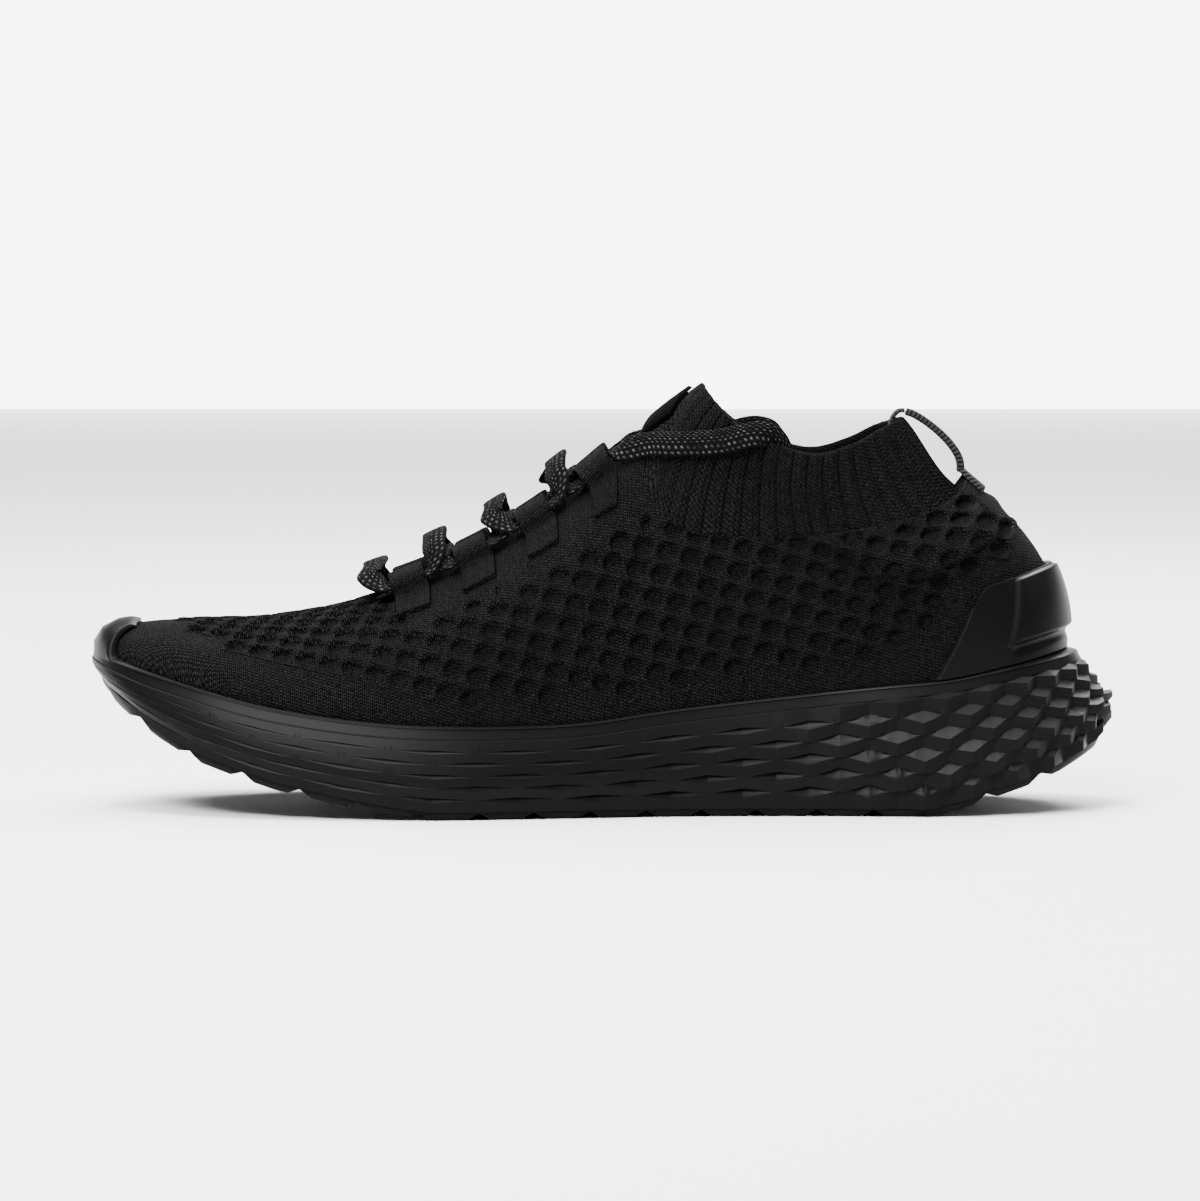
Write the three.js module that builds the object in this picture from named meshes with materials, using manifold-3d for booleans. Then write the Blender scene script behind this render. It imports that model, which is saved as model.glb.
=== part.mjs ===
// Low knitted running shoe, left foot, size about US 9 / EU 42.5.
// Frame: toe toward -X, heel toward +X, lateral side -Y, medial side +Y, +Z up. Millimetres.
// The origin is on the ground under the middle of the shoe.
import * as THREE from 'three';
import { mergeVertices } from 'three/addons/utils/BufferGeometryUtils.js';
import Module from 'manifold-3d';

const wasm = await Module();
wasm.setup();

// ---------------------------------------------------------------- driving dimensions
const GAP = 0.3;                 // clearance between neighbouring pieces
const LENGTH_SCALE = 1;          // stretch of every X position of the last and the sole
const WIDTH_SCALE = 1;           // stretch of every Y position of the last and the sole
const OUTSOLE_THICK = 2.3;       // rubber sheet under the foam
const TREAD_DEPTH = 1.6;         // grooves across the outsole
const TREAD_HALF = 2.3;          // half the width of one groove
const DISH_DEPTH = 3.6;          // how far the foot bed sits below the rim of the midsole
const RIM_HEIGHT = 0.8;          // lip of the rim above the feather line
const BUMPER_HEIGHT = 8.6;       // how far the toe bumper climbs above the feather line
const KNIT_THICK = 1.6;          // outer knit
const COLLAR_THICK = 2.2;        // ribbed knit, two layers
const COLLAR_INSET = 1.0;        // how far the rib lies under the face of the outer knit
const REAR_INSET = 3.6;          // the same at the back of the heel, on top of that
const LINING_THICK = 1.2;        // inner sock
const STIFFENER_THICK = 1.2;     // heel stiffener and toe puff
const PAD_THICK = 4.4;           // ankle pads at their middle
const BOARD_THICK = 1.2;         // strobel board
const SOCKLINER_THICK = 3.6;     // foam foot bed
const COVER_THICK = 0.7;         // cloth on the foot bed
const COUNTER_THICK = 1.8;       // moulded heel counter
const BLOCK_RISE = 1.1;          // raised block at the back of the counter
const LOOP_WIDTH = 11;           // ribbon of a lace loop
const LOOP_PATCH = 11;           // sewn end of a lace loop
const LOOP_RIBBON = 1.0;         // ribbon thickness
const TUNNEL_WIDTH = 9.6;        // inside of a lace loop
const TUNNEL_HEIGHT = 3.2;
const LACE_WIDTH = 5.2;
const LACE_THICK = 1.8;
const TAIL_HIDDEN = 118;         // length of each lace end that lies on the foot bed
const AGLET_LENGTH = 20;
const AGLET_SIZE = 3.4;
const LABEL_LENGTH = 14;         // along the tongue
const LABEL_WIDTH = 22;          // across the tongue
const LABEL_THICK = 1.1;
const TAB_WIDTH = 8;             // heel pull tab webbing
const TAB_THICK = 1.8;

// Feather outline (where the upper meets the sole) in plan, toe tip, lateral side, heel tip,
// medial side. Each row is X, Y.
const OUTLINE = [
  [-144.8, 7], [-141.5, -10], [-131, -25.5], [-110, -38], [-80, -45.3], [-48, -47.5],
  [-12, -42.5], [25, -35.6], [62, -32.8], [95, -32.6], [118, -27], [130, -15],
  [134.5, 0], [130, 15], [118, 26.5], [95, 31.6], [62, 30.6], [25, 31.4],
  [-12, 37.5], [-46, 45.3], [-78, 47.6], [-108, 43], [-129, 33], [-141, 21],
];
const HEEL_INDEX = 12;

// Height of the ground face of the sole, and of the feather line, along X.
const GROUND_Z = [
  [-150, 38], [-143, 32], [-127, 22], [-117, 16.4], [-105, 12.2], [-93, 8.4], [-74, 4.2],
  [-60, 1.6], [-48, 0], [96, 0], [104, 2.2], [112, 5], [122, 8.2], [133, 12.4], [144, 18],
  [150, 24],
];
const FEATHER_Z = [
  [-150, 46], [-144.8, 44.6], [-121, 37.7], [-94, 31], [-63, 26.9], [-32, 25.8], [-6, 26.5],
  [20, 29.8], [52, 33.3], [84, 36.6], [101, 38.4], [121, 42.6], [134.5, 45.6], [140, 46],
];

// How far the sidewall stands outside the feather outline, at four levels from the ground up.
// Each row is X, then the offsets.
const SIDE_LEVELS = [0, 0.3, 0.65, 1];
const SIDE_OFFSET = [
  [-144.8, -1.2, 3.2, 4.2, 4.1], [-141, -0.4, 3.2, 3.9, 3.2], [-131, 1.6, 4.2, 3.8, 2.1],
  [-110, 4, 5.6, 4.4, 1.8], [-80, 4.8, 6.4, 4.8, 1.8], [-45, 5, 6.5, 4.8, 1.8],
  [0, 3.6, 5.2, 4.2, 1.8], [50, 4.6, 6.4, 4.8, 1.8], [90, 7, 8.6, 6, 2.2],
  [118, 9.4, 11, 7.6, 3.6], [130, 11, 13.2, 9.2, 5], [134.5, 11.8, 14.7, 10.2, 5.4],
];

// Ridge of the upper from the toe top to the top of the tongue: X, Z, and its sideways drift Y.
const RIDGE = [
  [-112, 54.6, 3], [-99.5, 55, 2.6], [-88, 56.6, 2.2], [-76, 58.8, 1.8], [-58.5, 64.4, 1.2],
  [-41, 71.6, 0.6], [-23.4, 81.4, 0], [-6, 93.6, 0], [6, 104, 0], [17.6, 114.9, 0],
  [29.3, 123.6, 0],
];
// Edge of the ankle opening from the top of the tongue to the back: X, Y on one side, Z.
const EDGE = [
  [29.3, 0, 123.6], [30.6, 8, 121.8], [35, 16, 115.8], [42, 22, 109.6], [52.7, 26, 105],
  [63, 27.4, 103], [74, 25.6, 106], [82, 19.5, 110.2], [87, 10, 112.4], [88.4, 0, 113],
];
const FAN_END = 0.19;            // share of the half girth whose lines meet at the toe top
const PEAK = 0.56;               // share of the half girth at the top of the tongue
const COLLAR_START_X = 11;       // where the rib begins on the ridge

// Shape of the upper between feather line and top line: share of the half girth, length of
// the lower handle, length of the upper handle, outward lean at the foot.
const SECTION = [
  [0, 9, 24, 0.02], [0.06, 9.5, 24, 0.05], [0.12, 11, 24, 0.12], [0.19, 13, 24, 0.2],
  [0.27, 15, 25, 0.24], [0.36, 22, 27, 0.2], [0.45, 36, 26, 0.12], [0.52, 46, 24, 0.06],
  [0.56, 46, 24, 0.04], [0.62, 40, 26, 0.02], [0.7, 34, 24, 0.02], [0.8, 28, 22, 0.02],
  [0.9, 30, 25, 0.05], [1, 35, 30, 0.08],
];
// Height of the seam between outer knit and rib: share of the half girth, Z.
const SEAM_Z = [[0.5, 103], [0.56, 91], [0.62, 82], [0.7, 80], [0.79, 81], [0.88, 86],
  [0.95, 93], [1, 97]];

const TREAD_X = [-133, -118, -102.5, -86, -69, -52, -34.5, -19, -2.9, 13.2, 29, 44.8, 62.4,
  78.6, 95, 111, 127];
const LOOP_X = [-53.6, -34.5, -16, 2.8];   // lace loops along the ridge
const LOOP_T = 0.2;                        // their distance from the ridge, as a share of a half

// ---------------------------------------------------------------- curves through tables
// Smooth curve through rows [x, a, b, ...], straight beyond the ends.
function along(rows, x, column = 1) {
  const last = rows.length - 1;
  let i = 0;
  while (i < last - 1 && x > rows[i + 1][0]) i += 1;
  const slope = (k) => {
    const a = Math.max(0, k - 1);
    const b = Math.min(last, k + 1);
    return (rows[b][column] - rows[a][column]) / (rows[b][0] - rows[a][0]);
  };
  const [p, q] = [rows[i], rows[i + 1]];
  const h = q[0] - p[0];
  const t = Math.min(1, Math.max(0, (x - p[0]) / h));
  const t2 = t * t;
  const t3 = t2 * t;
  return (2 * t3 - 3 * t2 + 1) * p[column] + (t3 - 2 * t2 + t) * h * slope(i)
    + (3 * t2 - 2 * t3) * q[column] + (t3 - t2) * h * slope(i + 1);
}

function straight(rows, x) {
  let i = 0;
  while (i < rows.length - 2 && x > rows[i + 1][0]) i += 1;
  const t = Math.min(1, Math.max(0, (x - rows[i][0]) / (rows[i + 1][0] - rows[i][0])));
  return rows[i][1] + t * (rows[i + 1][1] - rows[i][1]);
}

const smooth = (t) => { const c = Math.min(1, Math.max(0, t)); return c * c * (3 - 2 * c); };
const mix = (a, b, t) => a + (b - a) * t;
const vec = (x, y, z) => new THREE.Vector3(x, y, z);

// Girth share of each outline point: 0 at the toe tip, 0.5 at the heel tip, by chord length.
function outlineKnots() {
  const n = OUTLINE.length;
  const chord = OUTLINE.map((p, i) => {
    const q = OUTLINE[(i + 1) % n];
    return Math.hypot(q[0] - p[0], q[1] - p[1]);
  });
  const first = chord.slice(0, HEEL_INDEX).reduce((a, b) => a + b);
  const second = chord.slice(HEEL_INDEX).reduce((a, b) => a + b);
  const knots = [0];
  chord.forEach((c, i) => knots.push(knots[i] + 0.5 * c / (i < HEEL_INDEX ? first : second)));
  return knots;
}
const KNOTS = outlineKnots();
const OUTLINE_ROWS = [-2, -1, ...OUTLINE.keys(), OUTLINE.length, OUTLINE.length + 1].map((k) => {
  const n = OUTLINE.length;
  const turn = Math.floor(k / n);
  const i = k - turn * n;
  return [KNOTS[i] + turn, OUTLINE[i][0] * LENGTH_SCALE, OUTLINE[i][1] * WIDTH_SCALE];
});

const wrapShare = (u) => u - Math.floor(u);
const shareOf = (u) => (u < 0.5 ? 2 * u : 2 - 2 * u);       // 0 toe .. 1 heel on either side
const sideOf = (u) => (u < 0.5 ? -1 : 1);                   // -1 lateral, 1 medial
const groundZ = (x) => straight(GROUND_Z, x / LENGTH_SCALE);
const featherZ = (x) => along(FEATHER_Z, x / LENGTH_SCALE);

function planPoint(share, off = 0) {
  const u = wrapShare(share);
  const e = 1e-4;
  const x = along(OUTLINE_ROWS, u, 1);
  const y = along(OUTLINE_ROWS, u, 2);
  const tx = along(OUTLINE_ROWS, u + e, 1) - along(OUTLINE_ROWS, u - e, 1);
  const ty = along(OUTLINE_ROWS, u + e, 2) - along(OUTLINE_ROWS, u - e, 2);
  const l = Math.hypot(tx, ty);
  return { x: x + (ty / l) * off, y: y - (tx / l) * off, nx: ty / l, ny: -tx / l };
}

// Sidewall of the sole at level w: 0 at the ground edge, 1 at the rim.
function wallPoint(u, w, base) {
  const key = planPoint(u).x / LENGTH_SCALE;
  const row = SIDE_LEVELS.map((level, i) => [level, along(SIDE_OFFSET, key, i + 1)]);
  const p = planPoint(u, along(row, w));
  const low = groundZ(p.x) + base;
  return vec(p.x, p.y, mix(low, featherZ(planPoint(u).x), w));
}

// A level of the foot bed: outline moved by off, height measured from the feather line.
function bedPoint(u, off, dz) {
  const p = planPoint(u, off);
  return vec(p.x, p.y, featherZ(p.x) + dz);
}

// ---------------------------------------------------------------- the face of the upper
const EDGE_ROWS = (() => {
  const rows = [];
  let run = 0;
  EDGE.forEach((p, i) => {
    if (i) run += Math.hypot(...p.map((c, k) => c - EDGE[i - 1][k]));
    rows.push([run, ...p]);
  });
  const all = rows.map(([r, x, y, z]) => [r / run, x * LENGTH_SCALE, y * WIDTH_SCALE, z]);
  const flip = (row, at) => [2 * at - row[0], row[1], -row[2], row[3]];
  return [flip(all[1], 0), ...all, flip(all[all.length - 2], 1)];
})();
const ridgePoint = (x) => vec(x * LENGTH_SCALE, along(RIDGE, x, 2), along(RIDGE, x));
const ridgeX = (s) => mix(RIDGE[0][0], RIDGE[RIDGE.length - 1][0],
  Math.min(1, Math.max(0, (s - FAN_END) / (PEAK - FAN_END))));
const shareAtRidge = (x) => FAN_END
  + (PEAK - FAN_END) * (x - RIDGE[0][0]) / (RIDGE[RIDGE.length - 1][0] - RIDGE[0][0]);
function ridgeTangent(x) {
  const e = 0.5;
  const a = Math.max(RIDGE[0][0], x - e);
  const b = Math.min(RIDGE[RIDGE.length - 1][0], x + e);
  return ridgePoint(b).sub(ridgePoint(a)).setY(0).normalize();
}

// Top line and the direction in which a line of the upper arrives there.
function topPoint(u) {
  const s = shareOf(u);
  const side = sideOf(u);
  if (s <= PEAK) {
    const x = ridgeX(s);
    const turn = s < FAN_END ? s / FAN_END : 1 - 0.45 * smooth((x - 0) / 29.3);
    const angle = turn * Math.PI / 2;
    const dir = ridgeTangent(x).multiplyScalar(Math.cos(angle));
    dir.y -= side * Math.sin(angle);
    return { point: ridgePoint(x), dir: dir.normalize() };
  }
  const c = (s - PEAK) / (1 - PEAK);
  const at = [1, 2, 3].map((k) => along(EDGE_ROWS, c, k));
  const start = ridgeTangent(29.3).multiplyScalar(Math.cos(0.55 * Math.PI / 2));
  start.y -= side * Math.sin(0.55 * Math.PI / 2);
  const flank = vec(0.05, -side * 0.1, 1);
  const back = vec(-0.68, 0, 0.73);
  const dir = start.lerp(flank, smooth(c / 0.4)).lerp(back, smooth((c - 0.45) / 0.55));
  return { point: vec(at[0], side * at[1], at[2]), dir: dir.normalize() };
}

// A point of the face: u round the shoe, v from the feather line (0) to the top line (1).
function facePoint(share, v) {
  const u = wrapShare(share);
  const s = shareOf(u);
  const plan = planPoint(u);
  const foot = vec(plan.x, plan.y, featherZ(plan.x));
  const lean = along(SECTION, s, 3);
  const rise = vec(plan.nx * lean, plan.ny * lean, 1).normalize();
  const top = topPoint(u);
  const c1 = foot.clone().addScaledVector(rise, along(SECTION, s, 1));
  const c2 = top.point.clone().addScaledVector(top.dir, -along(SECTION, s, 2));
  const w = 1 - v;
  const p = foot.multiplyScalar(w * w * w).addScaledVector(c1, 3 * w * w * v)
    .addScaledVector(c2, 3 * w * v * v).addScaledVector(top.point, v * v * v);
  const ankle = 2.6 * Math.exp(-(((s - 0.865) / 0.06) ** 2) - (((v - 0.5) / 0.12) ** 2));
  p.x += plan.nx * ankle;
  p.y += plan.ny * ankle;
  return p;
}

function faceNormal(share, v) {
  const u = wrapShare(share);
  if (v > 0.9999 && shareOf(u) <= PEAK + 1e-9) {
    const t = ridgeTangent(ridgeX(shareOf(u)));
    return vec(-t.z, 0, t.x);
  }
  const e = 1e-3;
  const du = facePoint(u + e, v).sub(facePoint(u - e, v));
  const dv = facePoint(u, Math.min(1, v + e)).sub(facePoint(u, Math.max(0, v - e)));
  return du.cross(dv).normalize();
}

// A point h millimetres outside the face (inside when h is negative).
const skin = (u, v, h) => facePoint(u, v).addScaledVector(faceNormal(u, v), h);
const hem = (u, h, drop) => { const p = skin(u, 0, h); p.z -= drop; return p; };

// v at which the face is dz above the feather line.
function climb(u, dz) {
  const goal = featherZ(planPoint(u).x) + dz;
  let [a, b] = [0, 1];
  for (let i = 0; i < 24; i += 1) {
    const m = (a + b) / 2;
    if (facePoint(u, m).z < goal) a = m; else b = m;
  }
  return (a + b) / 2;
}

const COLLAR_START = shareAtRidge(COLLAR_START_X);
const SEAM_RAMP = 0.05;
function seamV(u) {
  const s = shareOf(wrapShare(u));
  if (s <= COLLAR_START) return 1;
  const goal = along(SEAM_Z, s);
  const full = climb(u, goal - featherZ(planPoint(u).x));
  return mix(1, full, smooth((s - COLLAR_START) / SEAM_RAMP) ** 0.6);
}

// ---------------------------------------------------------------- closed bodies
class Body {
  constructor() { this.xyz = []; this.faces = []; }
  add(p) { this.xyz.push(p.x, p.y, p.z); return this.xyz.length / 3 - 1; }
  quad(a, b, c, d) { this.faces.push(a, b, c, a, c, d); }
  geometry() {
    const raw = new THREE.BufferGeometry();
    raw.setAttribute('position', new THREE.Float32BufferAttribute(this.xyz, 3));
    raw.setIndex(this.faces);
    return weld(raw);
  }
}

// Merge equal points, drop faces without area, and turn the body so that its faces point out.
function weld(raw) {
  const g = raw.index ? raw : mergeVertices(raw);
  g.deleteAttribute('normal');
  g.deleteAttribute('uv');
  const m = mergeVertices(g, 2e-3);
  const p = m.attributes.position;
  const at = (i) => vec(p.getX(i), p.getY(i), p.getZ(i));
  const keep = [];
  let volume = 0;
  for (let i = 0; i < m.index.count; i += 3) {
    const [a, b, c] = [0, 1, 2].map((k) => m.index.getX(i + k));
    if (a !== b && b !== c && c !== a) {
      keep.push(a, b, c);
      volume += at(a).dot(at(b).cross(at(c)));
    }
  }
  if (volume < 0) for (let i = 0; i < keep.length; i += 3) keep.splice(i, 2, keep[i + 1], keep[i]);
  m.setIndex(keep);
  return m;
}

const BUMPER_REACH = 0.054;      // share of the half girth that the toe bumper covers
const BUMPER_RAMP = 0.012;
const steps = (a, b, n) => Array.from({ length: n + 1 }, (_, i) => mix(a, b, i / n));
// Shares of the half girth used for every piece that runs round the shoe.
const HALF = [
  ...steps(0, BUMPER_REACH, 2), ...steps(BUMPER_REACH, BUMPER_REACH + BUMPER_RAMP, 3).slice(1),
  ...steps(BUMPER_REACH + BUMPER_RAMP, FAN_END, 4).slice(1),
  ...steps(FAN_END, COLLAR_START, 11).slice(1),
  ...steps(COLLAR_START, COLLAR_START + SEAM_RAMP, 3).slice(1),
  ...steps(COLLAR_START + SEAM_RAMP, 0.88, 6).slice(1), ...steps(0.88, 1, 5).slice(1),
];
const GIRTH = [...HALF.map((s) => s / 2), ...HALF.slice(1, -1).reverse().map((s) => 1 - s / 2)];

// A stack of rings round the shoe, closed below and above by floors that follow floor heights.
function ringStack(rings, bottomZ, topZ, across = 3) {
  const body = new Body();
  const n = GIRTH.length;
  const ids = rings.map((ring) => GIRTH.map((u) => body.add(ring(u))));
  for (let k = 0; k < rings.length - 1; k += 1) {
    for (let i = 0; i < n; i += 1) {
      const j = (i + 1) % n;
      body.quad(ids[k][i], ids[k][j], ids[k + 1][j], ids[k + 1][i]);
    }
  }
  const floor = (ring, level, up) => {
    const rows = HALF.map((s, i) => {
      const a = ring(s / 2);
      const b = ring(wrapShare(1 - s / 2));
      const row = [];
      for (let k = 0; k <= across; k += 1) {
        const p = a.clone().lerp(b, k / across);
        if (k > 0 && k < across) p.z = level(p.x);
        row.push(body.add(p));
      }
      return row;
    });
    for (let i = 0; i < rows.length - 1; i += 1) {
      for (let k = 0; k < across; k += 1) {
        const q = [rows[i][k], rows[i + 1][k], rows[i + 1][k + 1], rows[i][k + 1]];
        body.quad(...(up ? q : q.reverse()));
      }
    }
  };
  floor(rings[0], bottomZ, false);
  floor(rings[rings.length - 1], topZ, true);
  return body.geometry();
}

// A skin of two faces with walls between: front and back are functions of (column, row).
function slab(columns, rows, front, back, closed, topOpen = () => true) {
  const body = new Body();
  const f = columns.map((c, i) => rows.map((r, k) => body.add(front(c, r, i, k))));
  const b = columns.map((c, i) => rows.map((r, k) => body.add(back(c, r, i, k))));
  const n = columns.length;
  const last = rows.length - 1;
  for (let i = 0; i < (closed ? n : n - 1); i += 1) {
    const j = (i + 1) % n;
    for (let k = 0; k < last; k += 1) {
      body.quad(f[i][k], f[j][k], f[j][k + 1], f[i][k + 1]);
      body.quad(b[i][k], b[i][k + 1], b[j][k + 1], b[j][k]);
    }
    body.quad(f[j][0], f[i][0], b[i][0], b[j][0]);
    if (topOpen(columns[i], columns[j])) body.quad(f[i][last], f[j][last], b[j][last], b[i][last]);
  }
  if (!closed) {
    for (let k = 0; k < last; k += 1) {
      body.quad(f[0][k], f[0][k + 1], b[0][k + 1], b[0][k]);
      body.quad(f[n - 1][k + 1], f[n - 1][k], b[n - 1][k], b[n - 1][k + 1]);
    }
  }
  return body.geometry();
}

// ---------------------------------------------------------------- sole
function solidOf(geometry) {
  const g = weld(geometry);
  return new wasm.Manifold(new wasm.Mesh({
    numProp: 3,
    vertProperties: new Float32Array(g.attributes.position.array),
    triVerts: new Uint32Array(g.index.array),
  }));
}

function geometryOf(solid) {
  const mesh = solid.getMesh();
  const g = new THREE.BufferGeometry();
  g.setAttribute('position', new THREE.BufferAttribute(new Float32Array(mesh.vertProperties), 3));
  g.setIndex([...mesh.triVerts]);
  return weld(g);
}

function treadCutter(x) {
  const px = x * LENGTH_SCALE;
  const [a, b] = [px - TREAD_HALF, px + TREAD_HALF];
  const shape = new THREE.Shape([
    new THREE.Vector2(a, groundZ(a)), new THREE.Vector2(a - 0.6, groundZ(a) - 3),
    new THREE.Vector2(b + 0.6, groundZ(b) - 3), new THREE.Vector2(b, groundZ(b)),
    new THREE.Vector2(px, groundZ(px) + TREAD_DEPTH),
  ]);
  const g = new THREE.ExtrudeGeometry(shape, { depth: 140, bevelEnabled: false });
  g.rotateX(Math.PI / 2);
  g.translate(0, 70, 0);
  return g;
}

function outsole() {
  const inset = (u) => {
    const p = wallPoint(u, 0, 0);
    const c = planPoint(u);
    return vec(p.x - c.nx * 0.8, p.y - c.ny * 0.8, groundZ(p.x - c.nx * 0.8));
  };
  const edge = (rise) => (u) => wallPoint(u, 0, rise);
  const sheet = ringStack([inset, edge(0.7), edge(OUTSOLE_THICK)], groundZ,
    (x) => groundZ(x) + OUTSOLE_THICK);
  let solid = solidOf(sheet);
  TREAD_X.forEach((x) => { solid = solid.subtract(solidOf(treadCutter(x))); });
  return geometryOf(solid);
}

// The bumper covers the front of the toe and falls away sharply on both sides.
const bumper = (u) => 1 - smooth((shareOf(u) - BUMPER_REACH) / BUMPER_RAMP);
const rimRise = (u) => mix(RIM_HEIGHT, BUMPER_HEIGHT, bumper(u));
function rimOffset(u) {
  return along(SIDE_OFFSET, planPoint(u).x / LENGTH_SCALE, 4);
}

function midsole() {
  const base = OUTSOLE_THICK + GAP;
  const wall = [0, 0.15, 0.35, 0.6, 0.85, 1].map((w) => (u) => wallPoint(u, w, base));
  const lip = (part, out) => (u) => skin(u, climb(u, rimRise(u) * part), out(u));
  const inner = (u) => GAP * (1 + 1.6 * bumper(u));
  const rings = [...wall,
    lip(0.5, (u) => rimOffset(u) * 0.9), lip(1, (u) => Math.max(1.2, rimOffset(u) * 0.45)),
    lip(1, inner), lip(0.66, inner), lip(0.33, inner), (u) => hem(u, GAP, 0), (u) => {
      const p = hem(u, GAP, 0);
      p.z = featherZ(p.x) - DISH_DEPTH;
      return p;
    }];
  return ringStack(rings, (x) => groundZ(x) + base, (x) => featherZ(x) - DISH_DEPTH);
}

// A plate of the foot bed between two heights, inside the outline by inset.
function bedPlate(inset, low, high) {
  return ringStack([(u) => bedPoint(u, -inset, low), (u) => bedPoint(u, -inset, high)],
    (x) => featherZ(x) + low, (x) => featherZ(x) + high);
}
const BOARD_LOW = GAP - DISH_DEPTH;
const BOARD_HIGH = BOARD_LOW + BOARD_THICK;
const HEM_DROP = DISH_DEPTH - GAP;
const LINING_DROP = -(BOARD_HIGH + GAP);
const LINER_LOW = BOARD_HIGH + GAP;
const LINER_HIGH = LINER_LOW + SOCKLINER_THICK;
const LINER_INSET = 6.2;

// ---------------------------------------------------------------- upper and what is inside it
// Thickness of what lies between outer knit and lining, as a function of place.
function plate(u, v, s0, s1, v0, v1, edge = 0.03) {
  const s = shareOf(wrapShare(u));
  const inS = smooth((s - s0 + edge) / edge) * smooth((s1 + edge - s) / edge);
  return inS * smooth((v1 + 0.05 - v) / 0.05) * smooth((v - v0 + 0.05) / 0.05);
}
const PAD = { s0: 0.8, s1: 0.93, v0: 0.34, v1: 0.52 };
function padThickness(s, v) {
  const a = (2 * s - PAD.s0 - PAD.s1) / (PAD.s1 - PAD.s0);
  const b = (2 * v - PAD.v0 - PAD.v1) / (PAD.v1 - PAD.v0);
  return PAD_THICK * (1 - 0.55 * Math.min(1, a * a)) * (1 - 0.55 * Math.min(1, b * b));
}
function stuffing(u, v) {
  const s = shareOf(wrapShare(u));
  const puff = plate(u, v, -1, 0.17, -1, 0.72) * STIFFENER_THICK;
  const heel = plate(u, v, 0.86, 2, -1, 0.34) * STIFFENER_THICK;
  const pad = plate(u, v, PAD.s0, PAD.s1, PAD.v0, PAD.v1, 0.04) * padThickness(s, v);
  return Math.max(puff, heel, pad);
}

const UPPER_ROWS = [-1, ...steps(0, 1, 8)];
const upperTop = (a, b) => Math.max(shareOf(a), shareOf(b)) > COLLAR_START + 1e-9;
function upperSkin(offset, drop, stop) {
  return (u, r) => {
    if (r < 0) return hem(u, offset(u, 0), drop);
    const v = r * seamV(u) - (r === 1 && shareOf(u) > COLLAR_START + 1e-9 ? stop : 0);
    return skin(u, v, offset(u, v));
  };
}

function knitUpper() {
  return slab(GIRTH, UPPER_ROWS, upperSkin(() => 0, HEM_DROP, 0),
    upperSkin(() => -KNIT_THICK, HEM_DROP, 0), true, upperTop);
}

function lining() {
  const outer = (u, v) => -(KNIT_THICK + 2 * GAP + stuffing(u, v) + (stuffing(u, v) > 0.05 ? GAP : 0));
  const inner = (u, v) => outer(u, v) - LINING_THICK;
  return slab(GIRTH, UPPER_ROWS, upperSkin(outer, LINING_DROP, 0.045),
    upperSkin(inner, LINING_DROP, 0.045), true, upperTop);
}

// The rib: columns run round the ankle, rows from the seam to the edge of the opening.
const COLLAR_HALF = HALF.filter((s) => s > COLLAR_START - 1e-9)
  .map((s) => (s - COLLAR_START) / (1 - COLLAR_START) / 2);
const COLLAR_COLUMNS = [...COLLAR_HALF,
  ...COLLAR_HALF.slice(1, -1).reverse().map((w) => 1 - w)];
function collarShare(w, r) {
  const c = w <= 0.5 ? 2 * w : 2 - 2 * w;
  const at = mix(mix(COLLAR_START, 1, c), mix(PEAK, 1, c), r);
  const seamShare = mix(COLLAR_START, 1, c);
  const v = mix(seamV(seamShare / 2), 1, r);
  return { u: w <= 0.5 ? at / 2 : wrapShare(1 - at / 2), v };
}
function collarSkin(depth) {
  return (w, r) => {
    const { u, v } = collarShare(w, mix(0.04, 1, r));
    const rear = smooth((0.2 - Math.abs(w - 0.5)) / 0.2);
    return skin(u, v, -mix(COLLAR_INSET + REAR_INSET * rear, 0.2, smooth(r)) - depth);
  };
}
function ribCollar() {
  return slab(COLLAR_COLUMNS, steps(0, 1, 6), collarSkin(0), collarSkin(COLLAR_THICK), true);
}

function toePuff() {
  const half = HALF.filter((s) => s < 0.16).map((s) => s / 2);
  const columns = [...half.slice(1).reverse().map((u) => 1 - u), ...half];
  const front = (u, v) => skin(u, v, -KNIT_THICK - GAP);
  const back = (u, v) => skin(u, v, -KNIT_THICK - GAP - STIFFENER_THICK * 0.85);
  return slab(columns, [0.03, 1 / 8, 2 / 8, 3 / 8, 4 / 8, 5 / 8], front, back, false);
}

function heelStiffener() {
  const columns = GIRTH.filter((u) => u > 0.44 && u < 0.56);
  const front = (u, v) => skin(u, v, -KNIT_THICK - GAP);
  const back = (u, v) => skin(u, v, -KNIT_THICK - GAP - STIFFENER_THICK * 0.85);
  return slab(columns, steps(0.03, 0.32, 5), front, back, false);
}

function anklePad(side) {
  const columns = HALF.filter((s) => s > PAD.s0 - 0.02 && s < PAD.s1)
    .map((s) => (side < 0 ? s / 2 : 1 - s / 2));
  if (side > 0) columns.reverse();
  const front = (u, v) => skin(u, v, -KNIT_THICK - GAP);
  const back = (u, v) => skin(u, v, -KNIT_THICK - GAP - padThickness(shareOf(u), v) * 0.88);
  return slab(columns, steps(PAD.v0, PAD.v1, 6), front, back, false);
}

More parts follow.
